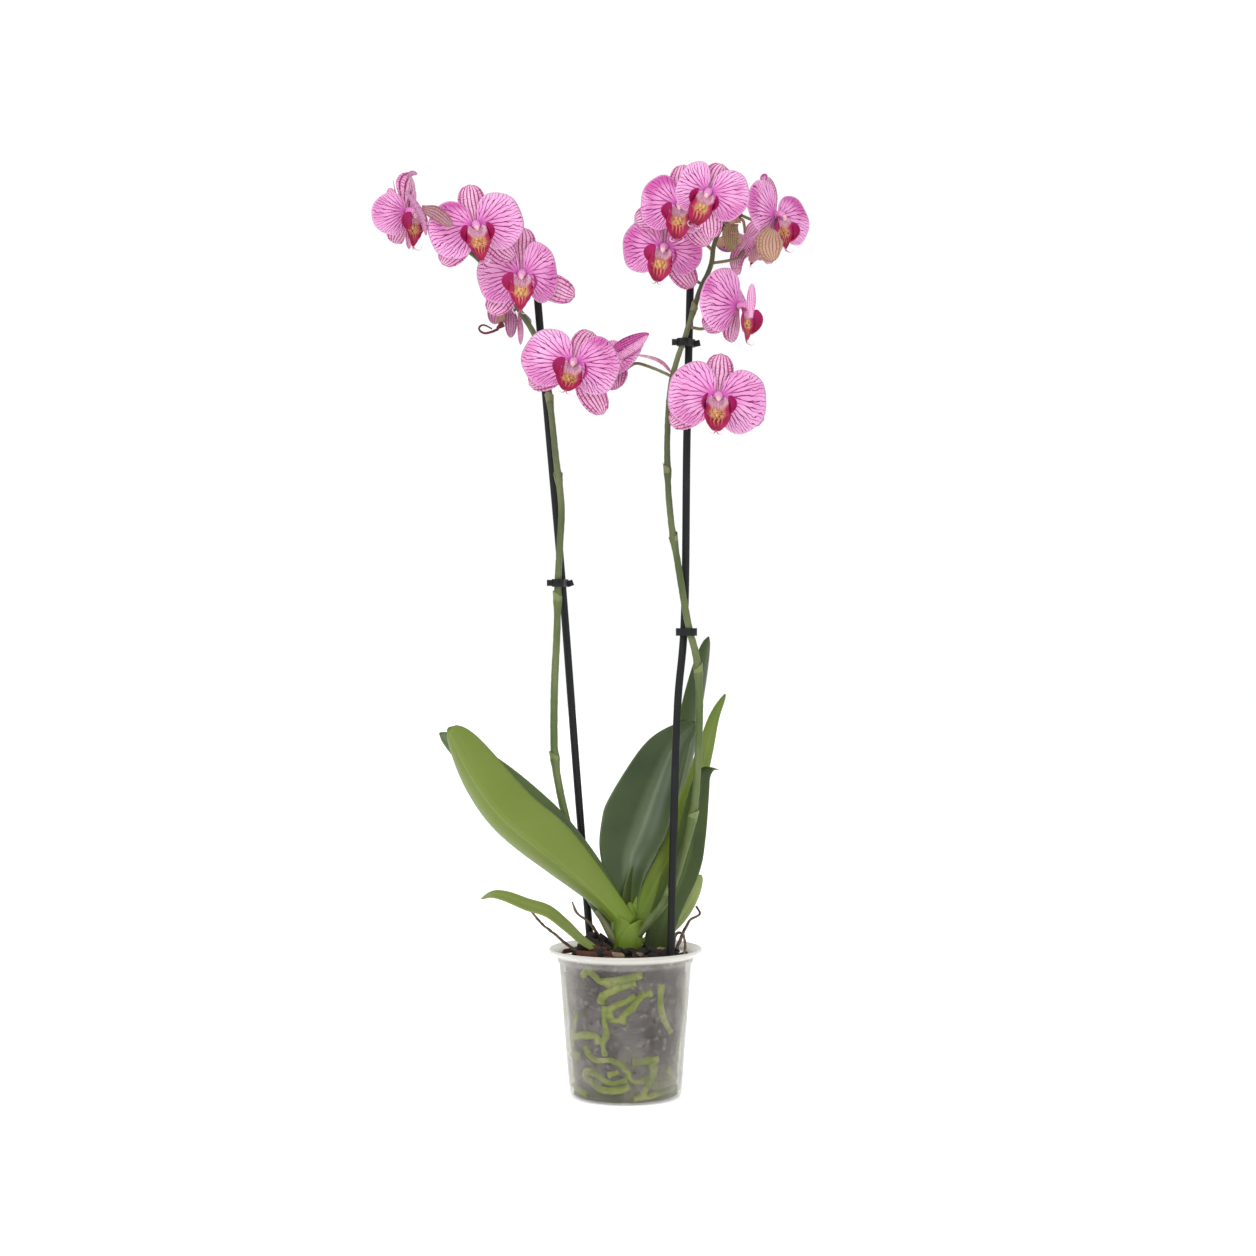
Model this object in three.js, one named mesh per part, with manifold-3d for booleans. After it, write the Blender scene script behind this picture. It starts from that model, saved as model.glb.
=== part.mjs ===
// Potted moth orchid: a clear nursery pot of bark and roots, eight leaves and two staked flower spikes.
// Millimetres, +Z up. The origin is the centre of the pot's base, and the plant is seen from -Y.
import * as THREE from "three";
import { mergeVertices } from "three/addons/utils/BufferGeometryUtils.js";
import Module from "manifold-3d";

const wasm = await Module();
wasm.setup();

// ---- Driving dimensions ----

const GAP = 0.35; // clearance between pieces that touch

const POT = {
  height: 116, // floor to the top of the flange
  footRadius: 44,
  stepHeight: 105, // where the wall meets the flared flange
  stepRadius: 52,
  rimRadius: 60,
  wall: 1.2,
  corner: 4,
  drains: 6,
  drainRadius: 3.5,
  drainCircle: 29,
};
const BARK = {
  floor: 2,
  top: 108,
  heap: 9, // how far the middle stands above the top of the wall
  inset: 6.6, // from the pot's wall
  ripple: 1.1,
  rows: 4,
  sides: 14,
  chips: 9,
  spread: 41, // how far from the middle the chips lie
};
const CROWN = { base: 92, collar: 116, top: 152, wide: 11, deep: 10 };
const ROOT_RADIUS = 2.7;
const STAKE_RADIUS = 3;
const STAKE_STEPS = 5;
const LEAF = { thickness: 2, bow: 0.12 };
const HUB = { x: 3, y: -1.5, top: 88, foot: 68, radius: 4 }; // where the roots meet under the crown
const ROOT_RING = { from: 60, step: 20, points: 13, height: 15, wave: 4 }; // roots coiled round the back
const AIR_ROOT = { thick: 1.5, thin: 0.9 };
const BRACT = { thin: 0.9, thick: 1.6 };
const PETAL = { reach: 37.5, fan: 88, claw: 2, lift: 4, shoulder: 0.5, wave: 0.8, thickness: 0.9 };
const SEPAL = { crest: 34, lateral: 40, half: 11.5, spread: 42, thickness: 0.9 };
const LIP = {
  from: -12,
  to: -29.5,
  thickness: 1,
  // Lines across the lip: share of its length, half its width, and how far its edges rise and come forward.
  lines: [
    [0, 8.5, 11.5, 4.5],
    [0.22, 11.8, 9, 4.5],
    [0.45, 9.5, 3, 1.5],
    [0.6, 11.5, 4, 1],
    [1, 1.2, 0, 0],
  ],
};
const STALK_RADIUS = 1.35;
const NECK = 6.5; // from a bloom's face back to the end of its neck
const CLIP = { height: 6, wall: 1.3, stemHole: 3.8, earLength: 4.5, earThickness: 2, earSunk: 0.8 };

// ---- Colours and finishes ----

const finish = (color, roughness) => new THREE.MeshStandardMaterial({ color, roughness, metalness: 0 });
const FINISH = {
  pot: () => finish("#d8dad8", 0.35),
  bark: () => finish("#4a342a", 0.95),
  root: () => finish("#93a457", 0.7),
  driedRoot: () => finish("#6f5d4c", 0.85),
  crown: () => finish("#8fae3c", 0.5),
  lime: () => finish("#7d9f3e", 0.45),
  leaf: () => finish("#3c5a35", 0.4),
  spike: () => finish("#5f7a3c", 0.55),
  stake: () => finish("#22252a", 0.45),
  clip: () => finish("#1b1d20", 0.4),
  bloom: () => finish("#d978c6", 0.6),
  lip: () => finish("#b01a5c", 0.5),
};

// ---- Solids ----

const v3 = (x, y, z) => new THREE.Vector3(x, y, z);
const rad = THREE.MathUtils.degToRad;
const smoothstep = THREE.MathUtils.smoothstep;
const mix = THREE.MathUtils.lerp;

/** A closed geometry from points and triangles, turned so that its faces point out. */
function closed(points, index) {
  let volume = 0;
  for (let i = 0; i < index.length; i += 3) {
    const [a, b, c] = [points[index[i]], points[index[i + 1]], points[index[i + 2]]];
    volume += a.dot(b.clone().cross(c));
  }
  const geometry = new THREE.BufferGeometry().setFromPoints(points);
  geometry.setIndex(volume > 0 ? index : index.slice().reverse());
  return geometry;
}

/** A solid for joining and cutting, from any closed geometry. */
function solid(geometry) {
  const bare = geometry.clone();
  bare.deleteAttribute("normal");
  bare.deleteAttribute("uv");
  const merged = mergeVertices(bare, 1e-4);
  return new wasm.Manifold(
    new wasm.Mesh({
      numProp: 3,
      vertProperties: new Float32Array(merged.attributes.position.array),
      triVerts: new Uint32Array(merged.index.array),
    }),
  );
}

/** The geometry of a solid's largest body. */
function surfaceOf(body) {
  const bodies = body.decompose().sort((a, b) => b.volume() - a.volume());
  const mesh = bodies[0].getMesh();
  const geometry = new THREE.BufferGeometry();
  geometry.setAttribute("position", new THREE.BufferAttribute(mesh.vertProperties, 3));
  geometry.setIndex(new THREE.BufferAttribute(mesh.triVerts, 1));
  return geometry;
}

const fuse = (bodies) => bodies.reduce((sum, body) => sum.add(body));
const cut = (body, tools) => tools.reduce((rest, tool) => rest.subtract(tool), body);

/** Rings of points joined into one closed skin. */
function loft(rings) {
  const sides = rings[0].length;
  const last = (rings.length - 1) * sides;
  const index = [];
  for (let i = 0; i < last; i += sides) {
    for (let j = 0; j < sides; j++) {
      const [a, b] = [i + j, i + ((j + 1) % sides)];
      index.push(a, b, b + sides, a, b + sides, a + sides);
    }
  }
  for (let j = 1; j + 1 < sides; j++) index.push(0, j + 1, j, last, last + j, last + j + 1);
  return solid(closed(rings.flat(), index));
}

/** The smooth curve through a route's points. */
const curveThrough = (points) => new THREE.CatmullRomCurve3(points, false, "centripetal");

/** Evenly spaced shares from 0 to 1. */
const evenly = (steps) => Array.from({ length: steps + 1 }, (_, i) => i / steps);

/**
 * A stem, root or stalk: a round section carried along a smooth curve, its radius set along the way.
 * stations are the shares of its length that have a ring, or how many even steps it has.
 */
function sweep(points, radius, sides, stations) {
  const curve = curveThrough(points);
  const shares = Array.isArray(stations) ? stations : evenly(stations);
  let normal = null;
  const rings = shares.map((t) => {
    const tangent = curve.getTangentAt(t);
    const before = normal ?? v3(Math.abs(tangent.z) > 0.9 ? 1 : 0, 0, Math.abs(tangent.z) > 0.9 ? 0 : 1);
    normal = before.clone().addScaledVector(tangent, -before.dot(tangent)).normalize();
    const binormal = tangent.clone().cross(normal);
    const centre = curve.getPointAt(t);
    const size = typeof radius === "function" ? radius(t) : radius;
    return Array.from({ length: sides }, (_, j) => {
      const angle = (2 * Math.PI * j) / sides;
      return centre
        .clone()
        .addScaledVector(normal, size * Math.cos(angle))
        .addScaledVector(binormal, size * Math.sin(angle));
    });
  });
  return loft(rings);
}

/** A thin blade over surface(u, v), split alike on both faces. us and vs are the lines of its net. */
function blade(us, vs, thickness, surface) {
  const step = 1e-3;
  const [faces, columns] = [[], vs.length];
  const net = us.flatMap((u) => vs.map((v) => [u, v]));
  const offset = (u, v, side) => {
    const along = surface(u + step, v).sub(surface(u - step, v));
    const across = surface(u, v + step).sub(surface(u, v - step));
    return surface(u, v).addScaledVector(along.cross(across).normalize(), (side * thickness) / 2);
  };
  const points = [1, -1].flatMap((side) => net.map(([u, v]) => offset(u, v, side)));
  const back = net.length;
  const edge = (p, q) => faces.push(q, p, p + back, q, p + back, q + back);
  for (let i = 0; i + 1 < us.length; i++) {
    for (let j = 0; j + 1 < columns; j++) {
      const a = i * columns + j;
      const [b, c, d] = [a + columns, a + columns + 1, a + 1];
      faces.push(a, b, c, a, c, d, a + back, c + back, b + back, a + back, d + back, c + back);
    }
    edge(i * columns, (i + 1) * columns);
    edge((i + 2) * columns - 1, (i + 1) * columns - 1);
  }
  for (let j = 0; j + 1 < columns; j++) {
    edge(net.length - columns + j, net.length - columns + j + 1);
    edge(j + 1, j);
  }
  return solid(closed(points, faces));
}

// ---- Pot ----

/** The radius of the pot's wall on its inside, at a height. */
const innerRadius = (z) =>
  THREE.MathUtils.mapLinear(z, POT.corner, POT.stepHeight, POT.footRadius, POT.stepRadius) - POT.wall;

function pot() {
  const { height, footRadius, stepHeight, stepRadius, rimRadius, wall, corner } = POT;
  const outline = [
    [0, 0],
    [footRadius - corner, 0],
    [footRadius - 1.2, 1.2],
    [footRadius, corner],
    [stepRadius, stepHeight],
    [stepRadius + 1, stepHeight + 0.8],
    [stepRadius + 1.6, stepHeight + 4.5],
    [rimRadius - 1.4, height - 3],
    [rimRadius, height - 1.6],
    [rimRadius - 0.2, height],
    [stepRadius + 0.4, stepHeight + 6.2],
    [stepRadius - wall, stepHeight],
    [footRadius - wall, corner],
    [footRadius - corner, wall],
    [0, wall],
  ].map(([r, z]) => new THREE.Vector2(r, z));
  const segments = 24;
  const shell = solid(new THREE.LatheGeometry(outline, segments).rotateX(Math.PI / 2));
  const drains = Array.from({ length: POT.drains }, (_, i) => {
    const angle = (2 * Math.PI * (i + 0.5)) / POT.drains;
    const hole = new THREE.CylinderGeometry(POT.drainRadius, POT.drainRadius, 4 * wall, 6);
    hole.rotateX(Math.PI / 2);
    hole.translate(POT.drainCircle * Math.cos(angle), POT.drainCircle * Math.sin(angle), 0);
    return solid(hole);
  });
  return cut(shell, drains);
}

// ---- Routes ----

const route = (list) => list.map(([x, y, z]) => v3(x, y, z));

const STEM_ROUTE = {
  left: [
    [-3, 7, 124], [-22, 15, 143], [-38, 18, 184], [-49, 17, 224], [-55.5, 11, 262], [-56, 4, 312],
    [-53.7, 1, 365], [-53, 2, 402], [-51.4, 0, 432], [-50.1, -1, 461], [-53.7, -2, 494],
    [-58.8, -3, 541], [-63.2, -4, 573], [-71.1, -3, 596], [-82.8, -1, 615], [-98.5, 2, 638],
    [-122, 3, 662], [-145, 4, 676], [-158, 6, 683],
  ],
  right: [
    [6, -6, 122], [20, -8, 139], [32.6, -8, 156], [45.8, -7, 193], [52.7, -7, 220.5], [56.6, -8, 264],
    [57.3, -10, 326], [54.1, -12, 349.5], [50.2, -13, 363.5], [45.5, -14, 388], [41.6, -13, 412],
    [35.5, -9, 451], [33.2, -6, 482], [32.9, -4, 521.5], [35.6, -2, 557], [40.3, -2, 576.5],
    [45.8, -3, 592], [52.1, -3, 611.6], [58.3, -2, 631], [67, 0, 651], [69.5, 2, 667], [74.2, 4, 679],
    [83, 6, 688], [91.7, 7, 692.4],
  ],
};

const STAKE_ROUTE = {
  left: [[-23, 28, 60], [-28, 29, 116], [-39, 25, 254], [-50, 14, 402], [-62.5, 9, 546], [-70, 8, 635]],
  right: [[34, -23, 60], [35.2, -23, 113], [36.5, -19, 171], [40.9, -10, 310], [45.7, -6.5, 363.5],
    [48.2, 1, 514], [51, 8.5, 636]],
};

// Roots that lie against the pot's wall: place on the wall as [degrees round from the front, height].
const WALL_ROUTES = [
  [[10, 92], [-6, 99], [-16, 103], [-32, 100], [-41, 95], [-48, 97]],
  [[15, 97], [11, 92], [-3, 89], [-14, 83], [-24, 74]],
  [[40, 84], [28, 90], [16, 86], [8, 76], [-4, 60]],
  [[14, 88], [-10, 71], [-17, 60], [-20, 44], [-21, 30], [-18, 24]],
  [[8, 68], [-10, 59], [-27, 52], [-52, 55], [-50, 68]],
  [[30, 90], [42, 91], [45, 70], [52, 55], [60, 46]],
  [[-26, 21], [-10, 20], [2, 17], [8, 9], [20, 7]],
  [[-52, 12], [-42, 7], [-24, 9], [-4, 4], [10, 7]],
  [[8, 20], [24, 22], [32, 17], [22, 8], [18, 4]],
  [[30, 19], [50, 18], [64, 10], [78, 12]],
];
const BACK_ROUTES = { count: 4, from: 95, to: 265, top: 96, foot: 14, wander: 14 };

const random = (() => {
  let seed = 7;
  return () => {
    seed = (seed * 16807) % 2147483647;
    return seed / 2147483647;
  };
})();

/** A point on the line that roots follow inside the wall. */
function onWall(degrees, z, depth = ROOT_RADIUS + GAP + 0.5) {
  const angle = rad(degrees - 90);
  const r = innerRadius(z) - depth;
  return v3(r * Math.cos(angle), r * Math.sin(angle), z);
}

function wallRoots() {
  const taper = (t) => ROOT_RADIUS * (1 - 0.25 * t);
  const thick = WALL_ROUTES.map((line) => {
    const points = line.map(([degrees, z]) => onWall(degrees, Math.max(z, ROOT_RADIUS + 3.2)));
    return sweep(points, taper, 4, 2 * line.length - 3);
  });
  const behind = Array.from({ length: BACK_ROUTES.count }, (_, i) => {
    const start = mix(BACK_ROUTES.from, BACK_ROUTES.to, i / (BACK_ROUTES.count - 1));
    const line = Array.from({ length: 6 }, (_, k) => {
      const z = mix(BACK_ROUTES.top, BACK_ROUTES.foot, k / 5);
      return onWall(start + BACK_ROUTES.wander * (2 * random() - 1), z);
    });
    return sweep(line, taper, 4, 6);
  });
  const { from, step, points, height, wave } = ROOT_RING;
  const ring = Array.from({ length: points }, (_, k) =>
    onWall(from + step * k, height + wave * Math.sin(2.1 * k)));
  return fuse([...thick, ...behind, sweep(ring, ROOT_RADIUS * 0.8, 4, 18)]);
}

/** Roots that run from under the crown through the bark to the wall. */
function hubRoots(grow) {
  const ends = [[10, 92], [30, 90], [-32, 100], [BACK_ROUTES.from, 96], [180, 80]].map(([degrees, z]) =>
    onWall(degrees, z));
  const { x, y, top, foot, radius } = HUB;
  const hub = sweep([v3(x, y, top + grow), v3(x, y + 0.5, foot - grow)], radius + grow, 5, 1);
  const links = ends.map((end) => {
    const middle = v3(end.x / 2 + x, end.y / 2, end.z - 12);
    return sweep([v3(x, y, mix(foot, top, 0.4)), middle, end], radius / 2 + grow, 4, 3);
  });
  return fuse([hub, ...links]);
}

// ---- Bark ----

function barkHeap() {
  const { floor, top, heap, inset, ripple, rows, sides } = BARK;
  const chips = (i, j) => ripple * Math.sin(12.9 * i + 4.1 * j) * Math.cos(7.7 * j - 2.3 * i);
  const ring = (r, z, i) =>
    Array.from({ length: sides }, (_, j) => {
      const angle = (2 * Math.PI * j) / sides;
      const size = r - Math.abs(chips(i, j));
      return v3(size * Math.cos(angle), size * Math.sin(angle), z + (i > rows ? chips(j, i) : 0));
    });
  const wall = Array.from({ length: rows + 1 }, (_, i) => {
    const z = mix(floor, top, i / rows);
    return ring(innerRadius(Math.max(z, POT.corner)) - inset, z, i);
  });
  const cap = [0.75, 0.45, 0.15].map((share, k) =>
    ring(innerRadius(top) * share, top + heap * (1 - share * share), rows + 1 + k));
  return loft([...wall, ...cap]);
}

/** One flat chip of bark, turned by chance. */
function chip(x, y, z, size) {
  const box = new THREE.BoxGeometry(size, size * 0.62, size * 0.34);
  const turn = new THREE.Euler(1.1 * random(), 1.1 * random(), 6.3 * random());
  box.applyMatrix4(new THREE.Matrix4().makeRotationFromEuler(turn));
  return solid(box.translate(x, y, z));
}

function topChips() {
  const count = BARK.chips;
  const golden = 2.39996;
  return Array.from({ length: count }, (_, k) => {
    const r = BARK.spread * Math.sqrt((k + 0.6) / count);
    const angle = golden * k + 0.5 * random();
    const [x, y] = [r * Math.cos(angle), r * Math.sin(angle)];
    const heap = BARK.heap * (1 - (r / innerRadius(BARK.top)) ** 2) + (x < -10 ? 3 : 0);
    return chip(x, y, BARK.top + heap + 0.5, 12 + 7 * random());
  });
}

// ---- Crown and leaves ----

function crown(grow) {
  const { base, collar, top, wide, deep } = CROWN;
  const levels = [
    [base, 0.5, 2, -1],
    [collar - 8, 0.75, 1.5, -2],
    [collar + 6, 0.9, 1, -2],
    [collar + 20, 0.85, 1.5, -1],
    [top, 0.38, 3.5, 2],
  ];
  return loft(
    levels.map(([z, share, x, y]) =>
      Array.from({ length: 10 }, (_, j) => {
        const angle = (2 * Math.PI * j) / 10;
        return v3(
          x + (wide * share + grow) * Math.cos(angle),
          y + (deep * share + grow) * Math.sin(angle),
          z + (z === top ? grow : 0),
        );
      }),
    ),
  );
}

// Each leaf: its midrib from the crown out, the vectors from the midrib to its two edges at the widest, its
// width at the crown as a share of that, where along it it starts to close, and how bluntly.
const LEAVES = {
  leaf_front_left: {
    rib: [
      [2, -8, 130], [-18, -14, 152], [-54, -21, 184], [-93, -23, 219], [-113, -19, 249], [-137, -10, 284],
    ],
    edges: [[17, 10, 20], [-9, 24, -12]], foot: 0.42, tip: 2.8, finish: "lime",
  },
  leaf_back_left: {
    rib: [[0, 1, 136], [-23, 1, 171], [-62, 5, 213], [-105, 18, 249], [-130, 26, 267], [-149, 33, 283]],
    edges: [[10, 4, 11], [-4, 7, -11]], foot: 0.5, finish: "leaf",
  },
  leaf_low_left: {
    rib: [
      [-8, -12, 108], [-30, -22, 119.5], [-45, -27, 133.5], [-60, -32, 145.5], [-76, -38, 154],
      [-92, -44, 161], [-102, -48, 163], [-110.5, -51, 160],
    ],
    edges: [[1, 9, 4], [-1, -9, -3]], foot: 0.7, finish: "leaf",
  },
  leaf_broad: {
    rib: [
      [1, 3, 138], [2, 12, 182], [11, 24, 206], [23.5, 38, 239.5], [37, 49, 271], [48, 54, 284],
      [57, 57, 291],
    ],
    edges: [[-29, -10, 11], [20, -13, -8]], foot: 0.42, closes: 0.45, tip: 1.15, finish: "leaf",
  },
  leaf_tall: {
    rib: [
      [5, 6, 138], [12, 16, 168], [24, 29, 190], [36, 44, 215], [48, 60, 258], [58, 68, 309], [68, 70, 360],
    ],
    edges: [[-12, -12, 4], [6, 16, -2]], foot: 0.85, finish: "leaf",
  },
  leaf_narrow_right: {
    rib: [
      [8, 0, 134], [24, 8, 166], [40, 20, 196], [53, 28, 230], [64.5, 33, 269.5], [71.6, 35, 296],
      [80, 36, 314],
    ],
    edges: [[-10, -3, 4], [8, 6, -3]], foot: 0.85, closes: 0.55, tip: 0.85, finish: "lime",
  },
  leaf_front_right: {
    rib: [
      [23, 4, 112], [33, 7, 145], [46, 8, 176], [52.5, 8, 205], [58.5, 7, 239], [61.5, 4, 252],
      [66, 0, 256.5], [73, -5, 256],
    ],
    edges: [[-12, -1, 4], [12, 3, -4]], foot: 0.85, closes: 0.5, tip: 1.1, finish: "leaf",
  },
  leaf_small_right: {
    rib: [[14, 4, 118], [32, 15, 126], [48, 28, 141], [57, 35, 156], [63, 38, 169]],
    edges: [[-6, -5, 6], [5, 8, -4]], foot: 0.6, finish: "leaf",
  },
};

/** How wide a leaf is along its midrib, as a share of its widest. */
function leafShare(u, foot, closes, tip) {
  const opening = mix(foot, 1, smoothstep(u, 0, 0.5));
  const closing = Math.max(0, (u - closes) / (1 - closes)) ** tip;
  return opening * Math.sqrt(Math.max(0.004, 1 - closing));
}

function leaf({ rib, edges, foot, closes = 0.6, tip = 2.2 }, grow) {
  const line = route(rib);
  line[0].add(line[0].clone().sub(line[1]).setLength(2 * grow));
  const curve = curveThrough(line);
  const [a, b] = route(edges);
  const surface = (u, v) => {
    const side = v > 0 ? a : b;
    const share = leafShare(u, foot, closes, tip);
    const reach = Math.abs(v) * share * (1 + grow / 20);
    const bow = LEAF.bow * Math.sin(Math.PI * Math.abs(v));
    const out = a.clone().add(b).multiplyScalar(-bow * share);
    return curve.getPointAt(THREE.MathUtils.clamp(u, 0, 1)).addScaledVector(side, reach).add(out);
  };
  const us = [0.002, 0.12, 0.26, 0.41, 0.56, 0.7, 0.83, 0.94, 0.998];
  return blade(us, [-1, -0.55, 0, 0.55, 1], LEAF.thickness + 2 * grow, surface);
}

// ---- Blooms ----

/**
 * A broad petal: a fan of radii from its claw. side is 1 for the right petal and -1 for the left.
 * wide and tall are its size against a full petal's.
 */
function petal(side, fold, raise, wide, tall) {
  const { reach, fan, claw, lift, shoulder, wave, thickness } = PETAL;
  const lean = rad(lift + raise);
  const bend = rad(fold);
  const surface = (u, v) => {
    const angle = v * rad(fan);
    const rim = Math.max(claw + 1, reach * Math.max(0, Math.cos((v * Math.PI) / 2)) ** shoulder);
    const r = mix(claw, rim, u);
    const q = r / reach;
    const [out, up] = [wide * r * Math.cos(angle), tall * r * Math.sin(angle)];
    const x = 1.5 + out * Math.cos(lean) - up * Math.sin(lean);
    const y = out * Math.sin(lean) + up * Math.cos(lean);
    const z = 1.2 + q * q * (2.4 * Math.max(0, -Math.sin(angle)) - 2.6 * Math.cos(angle) ** 2)
      + q * q * q * wave * Math.sin(3 * angle + side);
    return v3(side * (x * Math.cos(bend) - z * Math.sin(bend)), y, z * Math.cos(bend) + x * Math.sin(bend));
  };
  return blade([0, 1], [-1, -0.86, -0.58, -0.28, 0, 0.28, 0.58, 0.86, 1], thickness, surface);
}

/** A sepal, turned by degrees from straight up, that bends back with the petals in front of it. */
function sepal(degrees, reach, reflex, fold) {
  const { half, thickness } = SEPAL;
  const turn = rad(degrees);
  const surface = (u, v) => {
    const share = Math.sin(Math.PI * Math.min(0.985, 0.06 + 0.925 * Math.max(0, u) ** 0.85));
    const width = half * Math.max(0.13, share) ** 0.72;
    const [along, across] = [1.5 + (reach - 1.5) * u, width * v];
    const x = Math.sin(turn) * along - Math.cos(turn) * across;
    const y = Math.cos(turn) * along + Math.sin(turn) * across;
    const back = Math.abs(x) * Math.tan(rad(Math.max(0, x > 0 ? -fold[0] : -fold[1])));
    return v3(x, y, -1.3 - reflex * u * u - 1.4 * v * v * Math.sin(Math.PI * u) - back);
  };
  return blade([0, 0.32, 0.7, 1], [-1, 0, 1], thickness, surface);
}

/** The neck, the disc that carries petals and sepals, and the column. */
function column() {
  const rings = [
    [0, -NECK, 1.6],
    [0, -2.6, 4.4],
    [0, 2, 4.4],
    [-1.2, 5.5, 3],
    [-4, 11, 2],
  ];
  const sides = 5;
  return loft(
    rings.map(([y, z, r]) =>
      Array.from({ length: sides }, (_, j) => {
        const angle = (2 * Math.PI * (j + 0.5)) / sides;
        return v3(r * Math.cos(angle), y + r * Math.sin(angle), z);
      }),
    ),
  );
}

/**
 * A bloom. fold and raise turn its right and left petals forward and up, and wide and tall size them. dorsal
 * leans its top sepal and crest is that sepal's length. lower is how far its two side sepals stand from
 * straight down, and hang is their length against a full one.
 */
function bloom({
  fold, raise = [0, 0], wide = [1, 1], tall = [1, 1], crest = SEPAL.crest, dorsal = 0,
  lower = [SEPAL.spread, SEPAL.spread], hang = [1, 1],
}) {
  const reflex = 4;
  return fuse([
    column(),
    petal(1, fold[0], raise[0], wide[0], tall[0]),
    petal(-1, fold[1], raise[1], wide[1], tall[1]),
    sepal(dorsal, crest, reflex, fold),
    sepal(180 - lower[0], hang[0] * SEPAL.lateral, reflex, fold),
    sepal(lower[1] - 180, hang[1] * SEPAL.lateral, reflex, fold),
  ]);
}

/**
 * The lip: a cupped shield on a claw, whose sides rise as two lobes beside the column and whose middle runs
 * down to a tip with two short tendrils.
 */
function lip() {
  const { lines, from, to, thickness } = LIP;
  const rows = lines.map(([row]) => row);
  const lineAt = (u) => {
    const k = Math.min(rows.length - 2, Math.max(0, rows.findLastIndex((row) => row <= u)));
    const share = (u - rows[k]) / (rows[k + 1] - rows[k]);
    return lines[k].map((value, i) => mix(value, lines[k + 1][i], share));
  };
  const face = blade(rows, [-1, -0.42, 0.42, 1], thickness, (u, v) => {
    const [, half, rise, forward] = lineAt(u);
    return v3(v * half, mix(from, to, u) + v * v * rise, 5.6 + 5 * Math.sin(1.9 * u) + v * v * forward);
  });
  const claw = sweep([v3(0, -6.6, 3.4), v3(0, -14, 7)], (t) => 1.3 + 1.6 * t, 3, 1);
  const tendrils = [1, -1].map((side) =>
    sweep([v3(side * 0.4, -28.4, 10), v3(side * 1.8, -31, 12), v3(side * 4, -30.5, 13.6)], 0.6, 3, 1));
  return fuse([claw, face, ...tendrils]);
}

// Each bloom: centre of its face, the way it faces in degrees (yaw to the right, pitch up, roll clockwise),
// its size, how its right and left petals fold forward, and the route of its stalk from the spike.
const BLOOMS = {
  a: { at: [-169, -18, 690], faces: [46, -10, -3], size: 0.9, fold: [-35, -18], raise: [0, -16],
    wide: [0.8, 0.9], tall: [0.8, 0.8], dorsal: 4, lower: [42, 12], spike: "left",
    stalk: [[-157, 6, 682], [-161, 19, 689], [-170, 22, 695], [-179, 8, 696]] },
  b: { at: [-115, -38, 676], faces: [6, -3, -9], size: 0.97, fold: [-7, -11], raise: [0, -8], crest: 31.5,
    lower: [42, 50], spike: "left", stalk: [[-118, 3, 661], [-120, -8, 668]] },
  c: { at: [-80, -22, 641], faces: [0, -3, 2], size: 0.99, fold: [-14, -16], raise: [6, -6],
    wide: [0.72, 0.98], tall: [1.05, 1], crest: 37, dorsal: -2, lower: [63, 40], spike: "left",
    stalk: [[-88, 0, 622], [-82, -4, 630]] },
  d: { at: [-93, 22, 616], faces: [-95, -32, 0], size: 0.62, fold: [30, 30], spike: "left",
    stalk: [[-76, -2, 604], [-76, 12, 610]] },
  e: { at: [-40, -34, 571], faces: [3, 3, 15], size: 1, fold: [-14, -10], raise: [6, -7], wide: [0.9, 1],
    crest: 30, dorsal: 6, lower: [46, 40], spike: "left", stalk: [[-61, -3, 556], [-52, -8, 566]] },
  f: { at: [-6, 20, 579], faces: [-45, 36, 20], size: 0.9, fold: [10, 10], tall: [1, 0.8], spike: "right",
    stalk: [[36, -1, 563], [23, 5, 566], [10, 17, 568]] },
  g: { at: [63, -58, 698], faces: [-5, -11, 23], size: 0.89, fold: [-14, -6], raise: [8, -4],
    wide: [0.95, 0.74], crest: 26, dorsal: 6, lower: [25, 74], hang: [1, 0.62], spike: "right",
    stalk: [[79, 5, 684], [68, -16, 692]] },
  h: { at: [42, -36, 692], faces: [-2, -3, 5], size: 0.93, fold: [-14, -16], wide: [0.5, 0.97],
    lower: [42, 68], spike: "right", stalk: [[69, 1, 662], [54, 2, 678]] },
  i: { at: [30, -19, 662], faces: [-3, -3, 11], size: 0.94, fold: [-14, -16], raise: [9, -8],
    wide: [0.84, 0.97], lower: [48, 74], spike: "right", stalk: [[60, -1, 636], [42, 4, 648]] },
  j: { at: [83, 19, 676], faces: [165, -34, 0], size: 0.52, fold: [30, 30], spike: "right",
    stalk: [[91, 7, 691], [86, 10, 690]] },
  k: { at: [103, 42, 672], faces: [140, -25, -10], size: 0.62, fold: [10, 10], spike: "right",
    stalk: [[68, 1, 653], [79, 4, 655], [90, 18, 660]] },
  l: { at: [117, -4, 689], faces: [45, 2, 0], size: 0.95, fold: [0, 8], raise: [-12, 12], dorsal: -8,
    lower: [42, 8], spike: "right", stalk: [[90, 7, 692], [104, 8, 687]] },
  m: { at: [88, -12, 617], faces: [58, -4, 2], size: 0.93, fold: [4, -24], raise: [34, 8],
    wide: [0.8, 1], tall: [0.6, 1], dorsal: -14, spike: "right", stalk: [[51, -3, 602], [62, 2, 602]] },
  n: { at: [71, -32, 545], faces: [4, 3, 6], size: 1.02, fold: [-8, -14], raise: [-10, 0], lower: [72, 55],
    spike: "right", stalk: [[34, -4, 532], [52, -10, 540]] },
};

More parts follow.
